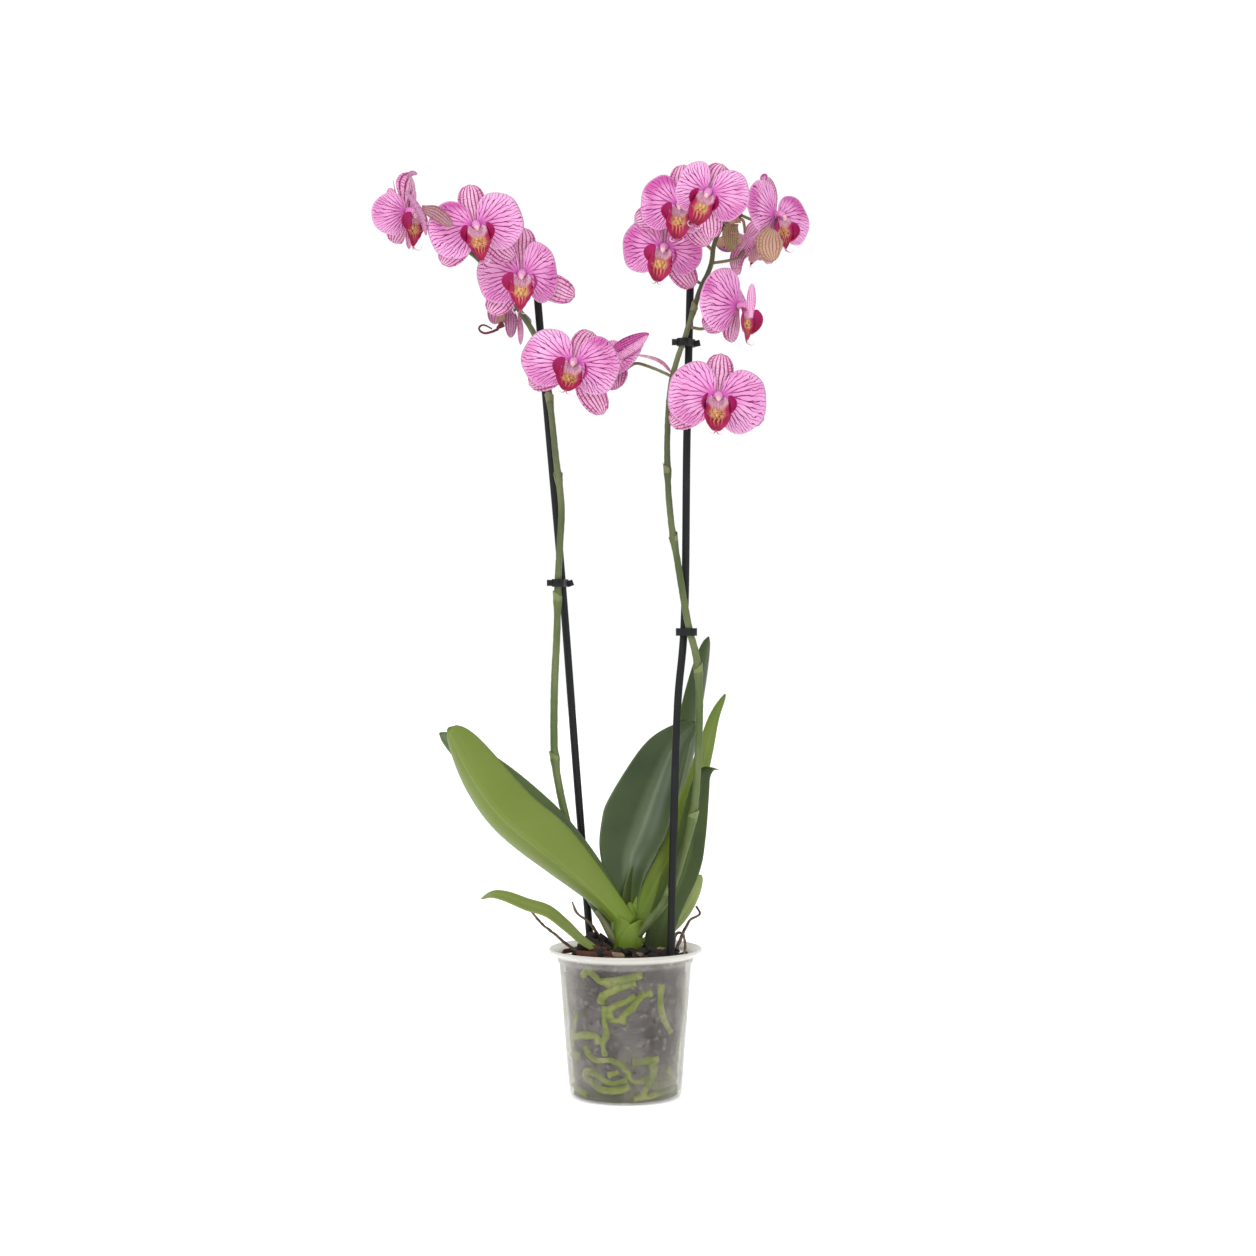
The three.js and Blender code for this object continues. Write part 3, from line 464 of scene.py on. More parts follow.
def lobe_paint():
    """The lip's side lobes: solid crimson magenta, a little paler at the foot."""
    paint = Paint("lip_lobe", 0.5, Specular_IOR_Level=0.25)
    _, u, back = across_and_face(paint)
    cloud = paint.cloud(180, 3)
    colour = paint.mix(paint.ramp(u, 0.1, 0.9), "#98083C", "#A00A5C")
    colour = paint.mix(paint.ramp(cloud, 0.4, 0.7, 0, 0.5), colour, "#7C0442")
    foot = paint.ramp(u, 0.0, 0.12, 0.6, 0.0)
    foot = paint.times(foot, paint.ramp(cloud, 0.4, 0.6, 0.3, 1.0))
    colour = paint.mix(foot, colour, "#D98E6E")
    vein = paint.cloud(260, 2, (1, 0.4, 1))
    colour = paint.mix(paint.ramp(vein, 0.6, 0.75, 0, 0.25), colour, "#B42E78")
    paint.bump(cloud, 0.12, 0.0004)
    return paint.done(paint.mix(paint.times(back, 0.25), colour, "#B8408A"))


def callus_paint():
    """The lip's callus: orange yellow with red spots."""
    paint = Paint("lip_callus", 0.35)
    spots = paint.ramp(paint.cells(900), 0.24, 0.38, 1.0, 0.0)
    colour = paint.mix(paint.ramp(paint.cloud(260, 2), 0.4, 0.7), "#D6A66C", "#BC7844")
    paint.bump(spots, 0.2, 0.0003)
    return paint.done(paint.mix(spots, colour, "#A31F3F"))


def tendril_paint():
    """The lip's tendrils: magenta at the foot, paling towards their tips."""
    paint = Paint("lip_tendril", 0.35, Subsurface_Weight=0.1)
    _, u = paint.net()
    flush = paint.ramp(paint.plus(u, paint.times(paint.cloud(400, 1), 0.4)), 0.3, 0.9)
    return paint.done(paint.mix(flush, "#A53A66", "#EBCFDC"))


def leaf_paint(name, top_code, deep_code, under_code, rib_code, foot_code, rib_width, roughness):
    """A strap leaf: soft pale band along its midrib, painted shade down its groove, a painted highlight
    along its rim, and a foot of its own green.
    """
    paint = Paint(name, roughness, Specular_IOR_Level=0.35, Coat_Weight=0.06, Coat_Roughness=0.35)
    v, u, back = across_and_face(paint)
    far = paint.math("ABSOLUTE", v)
    cloud = paint.cloud(22, 4)
    colour = paint.mix(paint.ramp(cloud, 0.35, 0.7), top_code, deep_code)
    band = paint.ramp(far, 0.0, rib_width, 1.0, 0.0)
    # Painted shade: a thin darker line down the groove over the midrib.
    groove = paint.ramp(far, 0.0, 0.03, 1.0, 0.0)
    rib = paint.times(band, paint.ramp(u, 0.5, 1.0, 0.6, 0.15))
    colour = paint.mix(rib, colour, rib_code)
    colour = paint.mix(paint.times(groove, 0.35), colour, deep_code)
    under = paint.mix(paint.ramp(cloud, 0.3, 0.75), under_code, top_code)
    under = paint.mix(paint.times(band, 0.4), under, rib_code)
    foot = paint.ramp(u, 0.04, 0.22, 0.7, 0.0)
    colour = paint.mix(foot, paint.mix(back, colour, under), foot_code)
    # Painted highlight: the rim is paled to a light yellow green, as if lit along the edge.
    edge = paint.ramp(far, 0.96, 0.995, 0.0, 0.35)
    colour = paint.mix(edge, colour, "#A3AE66")
    speck = paint.ramp(paint.cells(210), 0.05, 0.12, 0.3, 0.0)
    speck = paint.times(speck, paint.ramp(paint.cloud(40, 1), 0.5, 0.6))
    paint.bump(cloud, 0.16, 0.0008)
    return paint.done(paint.mix(speck, colour, rib_code))


def stem_paint(name, low_code, high_code, low, high):
    """A stem whose colour turns from one to another between two heights in metres, mottled along it."""
    paint = Paint(name, 0.5)
    cloud = paint.cloud(60, 4, (1, 1, 0.25))
    fleck = paint.cloud(420, 2, (1, 1, 0.3))
    colour = paint.mix(paint.ramp(paint.height(), low, high), low_code, high_code)
    colour = paint.mix(paint.ramp(cloud, 0.35, 0.7, 0, 0.5), colour, "#7E8458")
    colour = paint.mix(paint.ramp(fleck, 0.6, 0.75, 0, 0.5), colour, "#414B2A")
    paint.bump(fleck, 0.25, 0.0005)
    return paint.done(colour)


def crown_paint():
    """The crown and the leaves' feet: bright lime with deeper streaks, browner at the bark."""
    paint = Paint("crown_lime", 0.42, Subsurface_Weight=0.05)
    streak = paint.cloud(70, 3, (1, 1, 0.2))
    colour = paint.mix(paint.ramp(streak, 0.35, 0.7), "#6F861C", "#557316")
    colour = paint.mix(paint.ramp(paint.height(), 0.108, 0.122, 0.75, 0.0), colour, "#5E5A26")
    paint.bump(streak, 0.3, 0.001)
    return paint.done(colour)


def plastic_paint(name, dark_code, light_code, roughness):
    """Charcoal plastic with a fine drawn grain and scuffs."""
    paint = Paint(name, roughness, Specular_IOR_Level=0.3)
    grain = paint.cloud(380, 3, (1, 1, 0.12))
    scuff = paint.cloud(45, 4)
    colour = paint.mix(paint.ramp(scuff, 0.45, 0.8), dark_code, light_code)
    paint.bump(grain, 0.12, 0.0004)
    return paint.done(colour, paint.ramp(scuff, 0.3, 0.8, roughness - 0.08, roughness + 0.12))


def pot_paint():
    """Clear pot plastic, lightly fogged, milky where its wall is seen edge on, its flange whitened."""
    paint = Paint("pot_frosted", 0.24, Specular_IOR_Level=0.18)
    fog = paint.cloud(34, 4)
    streak = paint.cloud(90, 3, (1, 1, 0.35))
    facing = paint.tree.nodes.new("ShaderNodeLayerWeight")
    facing.inputs["Blend"].default_value = 0.5
    edge = paint.math("POWER", facing.outputs["Facing"], 2.4)
    edge = paint.times(edge, paint.ramp(paint.height(), 0.002, 0.014, 0.45, 1.0))
    rim = paint.ramp(paint.height(), 0.1085, 0.111)
    neck = paint.times(paint.ramp(paint.height(), 0.1035, 0.106), 0.14)
    haze = paint.math("MULTIPLY_ADD", paint.ramp(fog, 0.35, 0.7), 0.06, 0.03)
    haze = paint.plus(haze, paint.times(edge, 0.8))
    haze = paint.math("ADD", paint.plus(haze, neck), paint.times(rim, 0.5), clamped=True)
    colour = paint.mix(paint.ramp(streak, 0.4, 0.7), "#CFCCC6", "#B9B4AE")
    colour = paint.mix(paint.times(edge, 0.8), colour, "#97948B")
    colour = paint.mix(rim, colour, "#DAD8D1")
    paint.link(haze, paint.shader.inputs["Alpha"])
    paint.bump(paint.plus(fog, paint.times(streak, 0.3)), 0.04, 0.001)
    return paint.done(colour, paint.ramp(fog, 0.3, 0.7, 0.18, 0.34))


def fill_paint():
    """Damp bark against the pot's wall: brown greys, painted shade in the gaps between chips, pale flecks,
    moss low down.
    """
    paint = Paint("bark_against_wall", 0.85)
    upright = (1, 1, 1.5)
    chips = paint.cells(62, stretch=upright, output="Color")
    colour = paint.mix(paint.ramp(paint.parts(chips)[0], 0.1, 0.9), "#2E2928", "#564F4D")
    # Painted shade: the gaps between chips are darkened as the shade deep inside them.
    painted_gap_shade = paint.ramp(paint.cells(62, "DISTANCE_TO_EDGE", upright), 0.02, 0.14, 1.0, 0.0)
    colour = paint.mix(paint.times(painted_gap_shade, 0.6), colour, "#2A2220")
    damp = paint.cloud(30, 4)
    colour = paint.mix(paint.ramp(damp, 0.4, 0.65, 0.0, 0.6), colour, "#655E5C")
    moss = paint.times(paint.ramp(paint.cloud(42, 3), 0.5, 0.62), paint.ramp(paint.height(), 0.05, 0.01))
    colour = paint.mix(paint.times(moss, 0.65), colour, "#6F7540")
    grain = paint.cloud(210, 3)
    colour = paint.mix(paint.ramp(grain, 0.58, 0.72, 0.0, 0.5), colour, "#3A2E2A")
    colour = paint.mix(paint.ramp(grain, 0.42, 0.32, 0.0, 0.5), colour, "#8F8783")
    specks = paint.ramp(paint.cells(120), 0.12, 0.28, 1.0, 0.0)
    specks = paint.times(specks, paint.ramp(paint.cloud(60, 1), 0.46, 0.54))
    colour = paint.mix(paint.times(specks, 0.85), colour, "#1F1512")
    colour = paint.mix(paint.ramp(paint.height(), 0.005, 0.012, 0.8, 0.0), colour, "#4C5038")
    paint.bump(paint.plus(damp, painted_gap_shade), 0.4, 0.002)
    return paint.done(colour)


def bark_paint(name, dark_code, light_code):
    """Pine bark: layered grain, darker where it is damp."""
    paint = Paint(name, 0.88)
    grain = paint.cloud(90, 5, (1, 0.35, 1.4))
    damp = paint.cloud(28, 3)
    colour = paint.mix(paint.ramp(grain, 0.3, 0.75), dark_code, light_code)
    colour = paint.mix(paint.ramp(damp, 0.5, 0.75, 0.0, 0.7), colour, "#17100D")
    paint.bump(grain, 0.6, 0.0015)
    return paint.done(colour)


def root_paint(name, base_code, pale_code, tip_code):
    """A root, or a dried bract: paler patches and darker specks."""
    paint = Paint(name, 0.6)
    patch = paint.cloud(70, 4)
    speck = paint.cloud(340, 3)
    colour = paint.mix(paint.ramp(patch, 0.44, 0.56), base_code, pale_code)
    colour = paint.mix(paint.ramp(paint.cloud(38, 3), 0.52, 0.66, 0, 0.6), colour, tip_code)
    colour = paint.mix(paint.ramp(speck, 0.52, 0.66, 0, 0.55), colour, tip_code)
    paint.bump(speck, 0.25, 0.0006)
    return paint.done(colour)


PETAL = petal_paint()
SEPAL = sepal_paint("sepal_veined", "#E7ACCF", "#84105A", "#D478B2", "#D9A9B4", "#B37A86")
SEPAL_TAN = sepal_paint("sepal_tan_back", "#E7ACCF", "#84105A", "#D478B2", "#CBA983", "#A56F62")
SHELL_BEIGE = sepal_paint("shell_beige", "#BE9A84", "#8E5E54", "#B38874", "#D49AC0", "#A8508C")
SHELL_OLIVE = sepal_paint("shell_olive", "#92805A", "#66483A", "#A58A78", "#CE94B8", "#A0508A")
SLIP_BROWN = sepal_paint("slip_brown", "#A97E86", "#74424E", "#9C6E78", "#C88AAC", "#A0508A", 2.4)
SLIP_MAUVE = sepal_paint("slip_mauve", "#C58FB0", "#8E3A74", "#B980A4", "#D090B4", "#A0508A", 2.4)
SLIP_PINK = sepal_paint("slip_pink", "#E8B4D6", "#B8488E", "#DC94C4", "#E0A8C8", "#B870A0", 2.4)
SLIP_MAGENTA = sepal_paint("slip_magenta", "#CC5CA8", "#6A0A4E", "#BC3C96", "#D9A0C0", "#A0508A", 2.4)
SLIP_MAROON = sepal_paint("slip_maroon", "#6E2A3E", "#3E1424", "#8A4050", "#6E2A3E", "#3E1424")
COLUMN = column_paint()
CAP = cap_paint()
LIP_FACE = lip_paint()
LOBE = lobe_paint()
CALLUS = callus_paint()
TENDRIL_SKIN = tendril_paint()
LEAF_LIME = leaf_paint("leaf_lime", "#68792A", "#566C1A", "#6C7E30", "#7C8B40", "#6F8A20", 0.2, 0.5)
LEAF_DARK = leaf_paint("leaf_dark", "#3E4E2C", "#314224", "#4B602C", "#727F60", "#56682A", 0.36, 0.42)
LEAF_MID = leaf_paint("leaf_mid", "#384B0E", "#283A06", "#46601E", "#4E6220", "#3F4C1A", 0.3, 0.48)
LEAF_OLIVE = leaf_paint("leaf_olive", "#7C8A42", "#6C7C30", "#75863E", "#8F9B58", "#6B782E", 0.3, 0.48)
CROWN = crown_paint()
SPIKE = stem_paint("spike_green", "#46591E", "#41482C", 0.25, 0.60)
STALK = stem_paint("stalk_brown_green", "#5C5A38", "#7A6650", 0.50, 0.70)
SHEATH_GREEN = stem_paint("sheath_green", "#6C7A40", "#6E6C4C", 0.25, 0.60)
BRACT = root_paint("bract_pink", "#B77F98", "#CFA2B0", "#7E5466")
STAKE = plastic_paint("stake_charcoal", "#0D0F10", "#191C1E", 0.55)
CLIP = plastic_paint("clip_black", "#0B0C0E", "#17191C", 0.5)
POT = pot_paint()
FILL = fill_paint()
BARK = bark_paint("bark_chips", "#110D0A", "#2B1F18")
BARK_RED = bark_paint("bark_chips_red", "#3C1C14", "#643426")
BARK_PALE = bark_paint("bark_chips_pale", "#7B6650", "#A9937A")
ROOT = root_paint("root_green", "#6C7A14", "#858E36", "#485222")
ROOT_DRY = root_paint("root_dried", "#5D4A3C", "#7A6654", "#2E231C")

# ---- Blooms ----

# How thick each kind of blade is.
THICK = {"petal": 0.8, "lip": 0.9, "slip": 0.7, "leaf": 1.9, "leaf_foot": 1.0}

# A full-size bloom stands on its own axes: x to its right petal, y to its top sepal and z out of its face.
PETAL_FORM = {"reach": 37.5, "fan": 88, "claw": 2, "lift": 4, "aside": 1.5, "ahead": 1.2, "sag": 2.4,
              "bow": 2.6, "wave": 0.8, "ripple": 0.45, "frill": 0.012}
SEPAL_FORM = {"crest": 34, "lateral": 40, "half": 10.9, "foot": 0.42, "start": 1.5, "behind": 1.3,
              "sweep": 4, "keel": 1.4}

# What a bloom is unless its row below says otherwise. Pairs give the right side first.
PLAIN_BLOOM = {"raised": (0, 0), "wide": (1, 1), "tall": (1, 1), "dorsal": 0, "crest": SEPAL_FORM["crest"],
               "broad": 1, "lower": (42, 42), "hang": (1, 1), "lobes": (60, 60), "ears": 1, "droop": 0,
               "curl": 0, "blunt": False, "shrink": 1}
# Each bloom: where it is, the way it faces in degrees (yaw to the right, pitch up, roll clockwise), its
# size, its spike and its stalk's route. fold and raised turn its petals forward and up; wide and tall size
# them. dorsal leans its top sepal; crest and broad size it. lower is how far the side sepals stand from
# straight down, and hang sizes them. lobes turns the lip's side lobes, from 0 facing out to 90 edge on;
# ears and droop size and lower them. curl brings the lip's point forward, blunt rounds it, and shrink
# makes all but the column smaller.
BLOOMS = {
    "a": dict(at=(-169, -18, 690), faces=(46, -10, -3), size=0.9, fold=(-35, -18), raised=(0, -16),
              wide=(0.8, 0.84), tall=(0.8, 0.8), dorsal=25, lower=(42, 12), hang=(1, 0.72), spike="left",
              stalk=[(-157, 6, 682), (-161, 19, 689), (-170, 22, 695), (-179, 8, 696)], lobes=(136, -25),
              broad=1.8),
    "b": dict(at=(-115, -38, 676), faces=(6, -3, -9), size=0.97, fold=(-7, -11), raised=(0, -8), crest=33,
              lower=(42, 50), spike="left", stalk=[(-118, 3, 661), (-120, -8, 668)], lobes=(55, 45)),
    "c": dict(at=(-80, -22, 641), faces=(0, -3, 2), size=0.99, fold=(-14, -16), raised=(6, -6),
              wide=(0.72, 0.98), tall=(1.05, 1), crest=37, dorsal=-2, lower=(70, 40), hang=(1.1, 1),
              spike="left", stalk=[(-88, 0, 622), (-82, -4, 630)], lobes=(85, 15)),
    "d": dict(at=(-93, 22, 616), faces=(-95, -32, 0), size=0.62, fold=(30, 30), shrink=0.6, spike="left",
              stalk=[(-76, -2, 604), (-76, 12, 610)]),
    "e": dict(at=(-40, -34, 571), faces=(3, 3, 15), size=1, fold=(-14, -10), raised=(6, -7),
              wide=(0.96, 1.06), crest=29.5, dorsal=16, lower=(47, 50), hang=(1.12, 0.94), lobes=(85, 15),
              curl=45, blunt=True, spike="left", stalk=[(-61, -3, 556), (-52, -8, 566)]),
    "f": dict(at=(-6, 20, 579), faces=(-45, 36, 20), size=0.9, fold=(10, 10), tall=(1, 0.8), shrink=0.82,
              spike="right", stalk=[(36, -1, 564), (22, 6, 571), (8, 17, 576)]),
    "g": dict(at=(63, -58, 698), faces=(-5, -11, 23), size=0.89, fold=(-14, -6), raised=(8, -4),
              wide=(0.93, 0.72), tall=(0.96, 0.95), crest=26, dorsal=6, lower=(25, 74), hang=(1, 0.62),
              lobes=(62, 55), blunt=True, spike="right", stalk=[(79, 5, 684), (68, -16, 692)]),
    "h": dict(at=(42, -36, 692), faces=(-2, -3, 5), size=0.93, fold=(-14, -16), wide=(0.5, 0.9),
              lower=(42, 68), lobes=(85, 20), blunt=True, spike="right",
              stalk=[(69, 1, 662), (54, 2, 678)]),
    "i": dict(at=(30, -19, 662), faces=(-3, -3, 11), size=0.94, fold=(-14, -16), raised=(9, -8),
              wide=(0.84, 0.95), lower=(48, 74), hang=(1, 0.8), lobes=(85, 10), blunt=True, spike="right",
              stalk=[(60, -1, 636), (42, 4, 648)]),
    "j": dict(at=(83, 19, 676), faces=(165, -34, 0), size=0.52, fold=(30, 30), shrink=0.66, spike="right",
              stalk=[(91, 7, 691), (86, 10, 690)]),
    "k": dict(at=(103, 42, 672), faces=(140, -25, -10), size=0.62, fold=(10, 10), shrink=0.75,
              spike="right", stalk=[(68, 1, 653), (79, 4, 655), (90, 18, 660)]),
    "l": dict(at=(117, -4, 689), faces=(45, 2, 0), size=0.95, fold=(0, 8), raised=(-8, 12), wide=(1.12, 1),
              tall=(0.9, 1), dorsal=-8, lower=(42, 8), hang=(0.62, 1), lobes=(62, 45), droop=6,
              spike="right", stalk=[(90, 7, 692), (104, 8, 687)]),
    "m": dict(at=(88, -12, 617), faces=(58, -4, 2), size=0.93, fold=(4, -24), raised=(34, 8),
              wide=(0.32, 1), tall=(0.6, 1.2), crest=20, dorsal=-14, lower=(4, 50), hang=(0.75, 0.85),
              lobes=(58, 32), ears=1.3, droop=6, spike="right", stalk=[(51, -3, 602), (62, 2, 602)]),
    "n": dict(at=(71, -32, 545), faces=(4, 3, 6), size=1.02, fold=(-8, -14), raised=(-10, 0),
              tall=(1.08, 1.08), lower=(72, 55), lobes=(48, 66), curl=22, blunt=True, spike="right",
              stalk=[(34, -4, 532), (52, -10, 540)]),
}


def facing(at, faces, size):
    """Where a bloom stands: its own x to its right petal, y to its dorsal sepal and z out of its face."""
    yaw, pitch, roll = (math.radians(angle) for angle in faces)
    out = Vector((math.sin(yaw) * math.cos(pitch), -math.cos(yaw) * math.cos(pitch), math.sin(pitch)))
    side = Vector((0, 0, 1)).cross(out).normalized()
    up = out.cross(side)
    turn = Matrix((side, up, out)).transposed().to_4x4() @ Matrix.Rotation(-roll, 4, "Z")
    return Matrix.Translation(Vector(at)) @ turn @ Matrix.Scale(size, 4)


def petal_surface(side, fold, raised, wide, tall, seed):
    """A petal, fanned out from its claw, its rim waved and its face bowed. side is 1 for the right petal."""
    form = PETAL_FORM
    lean = math.radians(form["lift"] + raised)
    bend = math.radians(fold)

    def surface(u, v):
        angle = v * math.radians(form["fan"])
        rim = max(form["claw"] + 1, form["reach"] * max(0.0, math.cos(v * math.pi / 2)) ** 0.5)
        rim *= 1 + form["frill"] * math.sin(9 * angle + seed)
        r = lerp(form["claw"], rim, u)
        q = r / form["reach"]
        out, up = wide * r * math.cos(angle), tall * r * math.sin(angle)
        x = form["aside"] + out * math.cos(lean) - up * math.sin(lean)
        y = out * math.sin(lean) + up * math.cos(lean)
        bow = form["sag"] * max(0.0, -math.sin(angle)) - form["bow"] * math.cos(angle) ** 2
        wave = form["wave"] * math.sin(3 * angle + side) + form["ripple"] * math.sin(7 * angle + seed)
        z = form["ahead"] + q * q * bow + q**3 * wave
        return Vector((side * (x * math.cos(bend) - z * math.sin(bend)), y,
                       z * math.cos(bend) + x * math.sin(bend)))

    return surface


def sepal_surface(degrees, reach, fold, broad):
    """A sepal, widest past its middle and round at its tip, that bends back with the petals."""
    form = SEPAL_FORM
    turn = math.radians(degrees)

    def surface(u, v):
        opening = lerp(form["foot"], 1, ease(u, 0, 0.55))
        closing = max(0.0, 1 - clamp((u - 0.6) / 0.4) ** 2) ** 0.45
        width = form["half"] * broad * opening * max(0.03, closing)
        ahead, across = form["start"] + (reach - form["start"]) * u, width * v
        x = math.sin(turn) * ahead - math.cos(turn) * across
        y = math.cos(turn) * ahead + math.sin(turn) * across
        back = abs(x) * math.tan(math.radians(max(0.0, -fold[0] if x > 0 else -fold[1])))
        keel = form["keel"] * v * v * math.sin(math.pi * clamp(u))
        return Vector((x, y, -form["behind"] - form["sweep"] * u * u - keel - back))

    return surface


# Rings along the column: share of its length, how far up its middle stands, how far ahead, and its radius.
COLUMN_RINGS = [[0, 0, -6.5, 1.5], [0.22, 0, -3.2, 2.2], [0.42, 0, 0.5, 3.4], [0.6, 0.1, 3.2, 3.2],
                [0.78, -0.7, 6.8, 3.2], [0.92, -1.9, 9.6, 3.0], [1, -2.6, 10.6, 1.6]]
HOOD = {"over": 1.15, "under": 0.6}


def column_shape(mesh, stand):
    """The column: a round hood over a flatter underside."""

    def place(x, y):
        up, ahead, radius = along_table(COLUMN_RINGS, y)
        turn = 2 * math.pi * x
        hood = HOOD["over"] if math.sin(turn) > 0 else HOOD["under"]
        return Vector((radius * math.cos(turn), up + radius * hood * math.sin(turn), ahead))

    wrap(mesh, 20, 18, place, stand)


def cap_shape(mesh, stand):
    """The anther cap: a blunt pale beak with a groove down its middle, under the tip of the hood."""
    half, up, tall, ahead, deep = 2.1, -3.1, 2.3, 10.4, 1.7
    made = bmesh.ops.create_icosphere(mesh, subdivisions=3, radius=1)
    for corner in made["verts"]:
        x, y, z = corner.co
        beak = 1 - 0.35 * clamp(-y)
        groove = 0.22 * math.exp(-((x / 0.25) ** 2)) * clamp(z)
        corner.co = stand @ Vector((half * x * beak, up + tall * y, ahead + deep * z - groove))


# Lines across the lip: share of its length, half its width, how far its edges rise and come forward.
LIP_THROAT = [[0, 5.5, 3.5, 1.5], [0.2, 7.6, 5.5, 3], [0.38, 8.6, 5, 3], [0.47, 9.5, 4.5, 2.2]]
LIP_POINTED = [*LIP_THROAT, [0.55, 10, 4, 1.6], [0.7, 7.6, 2.5, 1], [0.85, 4.4, 1.2, 0.4],
               [0.95, 2.2, 0.3, 0.1], [1, 0.7, 0, 0]]
LIP_BLUNT = [*LIP_THROAT, [0.58, 10.3, 4.4, 2.4], [0.72, 10, 4, 2.6], [0.86, 8.2, 3, 2.2],
             [0.95, 5.6, 1.6, 1.2], [1, 3.2, 0.6, 0.4]]
LIP = {"from": -4, "length": 25.5, "bend": 0.5, "ahead": 5, "arch": 5.4}


def lip_surface(curl, blunt):
    """The lip's face, from the throat down to its point. Past its middle it turns forward by curl."""
    rows = LIP_BLUNT if blunt else LIP_POINTED
    turn = math.radians(curl)

    def surface(u, v):
        u = clamp(u)
        half, rise, forward = along_table(rows, u)
        past = LIP["length"] * max(0.0, u - LIP["bend"])
        run = LIP["length"] * min(u, LIP["bend"])
        y = LIP["from"] - run - past * math.cos(turn) + v * v * rise
        z = LIP["ahead"] + LIP["arch"] * math.sin(1.75 * u) + past * math.sin(turn) + v * v * forward
        return Vector((v * half, y, z))

    return surface


LOBE_FORM = {"half": 4.7, "tall": 16, "foot": -16, "aside": 10.6, "bow": 3.4, "ahead": 12, "behind": 1.5,
             "cup": 1.6}


def lobe_surface(side, turned, ears, droop):
    """A side lobe: a cupped round ear beside the column. turned is 0 where it faces out and 90 edge on."""
    form = LOBE_FORM
    cos, sin = math.cos(math.radians(turned)), math.sin(math.radians(turned))

    def surface(u, v):
        u = clamp(u)
        width = form["half"] * ears * max(0.1, 1 - (2 * u - 1) ** 2) ** 0.5 * (0.85 + 0.3 * u)
        bulge = form["cup"] * (1 - v * v) * math.sin(math.pi * u)
        x = form["aside"] - form["bow"] * (1.9 * u - 1.1) ** 2 + width * v * cos + bulge * sin
        z = form["ahead"] - form["behind"] * (1 - u) ** 2 + width * v * sin - bulge * cos
        return Vector((side * x, form["foot"] - droop + form["tall"] * ears * u, z))

    return surface


# The callus: two teeth side by side and one below them, each as its middle and its size.
CALLUS_TEETH = ((-1.5, -13.0, 9.6, 1.7), (1.5, -13.0, 9.6, 1.7), (0, -15.8, 10.6, 1.5))


def callus_shape(mesh, stand):
    """The callus in the lip's throat: rounded, lumpy teeth."""
    for x, y, z, size in CALLUS_TEETH:
        made = bmesh.ops.create_icosphere(mesh, subdivisions=3, radius=size)
        for corner in made["verts"]:
            lump = 1 + 0.22 * noise.noise(corner.co * 1.3 + Vector((x, y, z)))
            corner.co = stand @ Vector((x + corner.co.x * lump, y + 1.4 * corner.co.y * lump,
                                        z + 0.9 * corner.co.z * lump))


# A tendril's route from the lip's point: out to its side, up and ahead.
TENDRIL = ((0.3, 1.2, -0.3), (0.9, -1.2, 1.2), (2.6, -2.4, 3.2), (5.0, -1.6, 4.4), (5.8, 0.6, 4.0),
           (4.6, 1.4, 2.8))


def tendril_shape(mesh, stand, side, curl):
    """One of the two tendrils that curl up from the lip's point."""
    tip = lip_surface(curl, False)(1.0, 0.0)
    points = [tip + Vector((side * x, y, z)) for x, y, z in TENDRIL]
    tube(mesh, points, lambda t: 0.5 * (1 - 0.65 * t), 8, 22, stand)


# Blooms whose sepals have a tan back.
TAN_BACKED = ("j", "l")


def make_bloom(letter, row):
    """One bloom: petals, sepals, column and anther cap, then its lip with lobes, callus and tendrils."""
    bloom = {**PLAIN_BLOOM, **row}
    stand = facing(bloom["at"], bloom["faces"], bloom["size"])
    fold, shrink = bloom["fold"], bloom["shrink"]
    node, lip = f"bloom_{letter}", f"lip_{letter}"

    petals = new_mesh()
    for k, side in enumerate((1, -1)):
        wide, tall = bloom["wide"][k] * shrink, bloom["tall"][k] * shrink
        shape = petal_surface(side, fold[k], bloom["raised"][k], wide, tall, ord(letter) + 2 * k)
        blade(petals, 72, 18, THICK["petal"], shape, stand, flip=side)
    keep(f"petals_{letter}", petals, PETAL, "bloom", node)

    sepals = new_mesh()
    right, left = bloom["lower"]
    right_reach, left_reach = (share * SEPAL_FORM["lateral"] for share in bloom["hang"])
    for degrees, reach, broad in ((bloom["dorsal"], bloom["crest"], bloom["broad"]),
                                  (180 - right, right_reach, 1), (left - 180, left_reach, 1)):
        blade(sepals, 40, 22, THICK["petal"], sepal_surface(degrees, reach * shrink, fold, broad), stand)
    keep(f"sepals_{letter}", sepals, SEPAL_TAN if letter in TAN_BACKED else SEPAL, "bloom", node)

    column = new_mesh()
    column_shape(column, stand)
    keep(f"column_{letter}", column, COLUMN, "bloom", node)
    cap = new_mesh()
    cap_shape(cap, stand)
    keep(f"anther_cap_{letter}", cap, CAP, "bloom", node)

    stand = stand @ Matrix.Scale(shrink, 4)
    face = new_mesh()
    blade(face, 40, 32, THICK["lip"], lip_surface(bloom["curl"], bloom["blunt"]), stand)
    keep(f"lip_face_{letter}", face, LIP_FACE, "lip", lip)
    lobes = new_mesh()
    for side, turned in zip((1, -1), bloom["lobes"]):
        shape = lobe_surface(side, turned, bloom["ears"], bloom["droop"])
        blade(lobes, 28, 20, THICK["lip"], shape, stand, flip=-side)
    keep(f"lip_lobes_{letter}", lobes, LOBE, "lip", lip)
    callus = new_mesh()
    callus_shape(callus, stand)
    keep(f"lip_callus_{letter}", callus, CALLUS, "lip", lip)
    tendrils = new_mesh()
    for side in (1, -1):
        tendril_shape(tendrils, stand, side, bloom["curl"])
    keep(f"lip_tendrils_{letter}", tendrils, TENDRIL_SKIN, "lip", lip)


for letter, row in BLOOMS.items():
    make_bloom(letter, row)

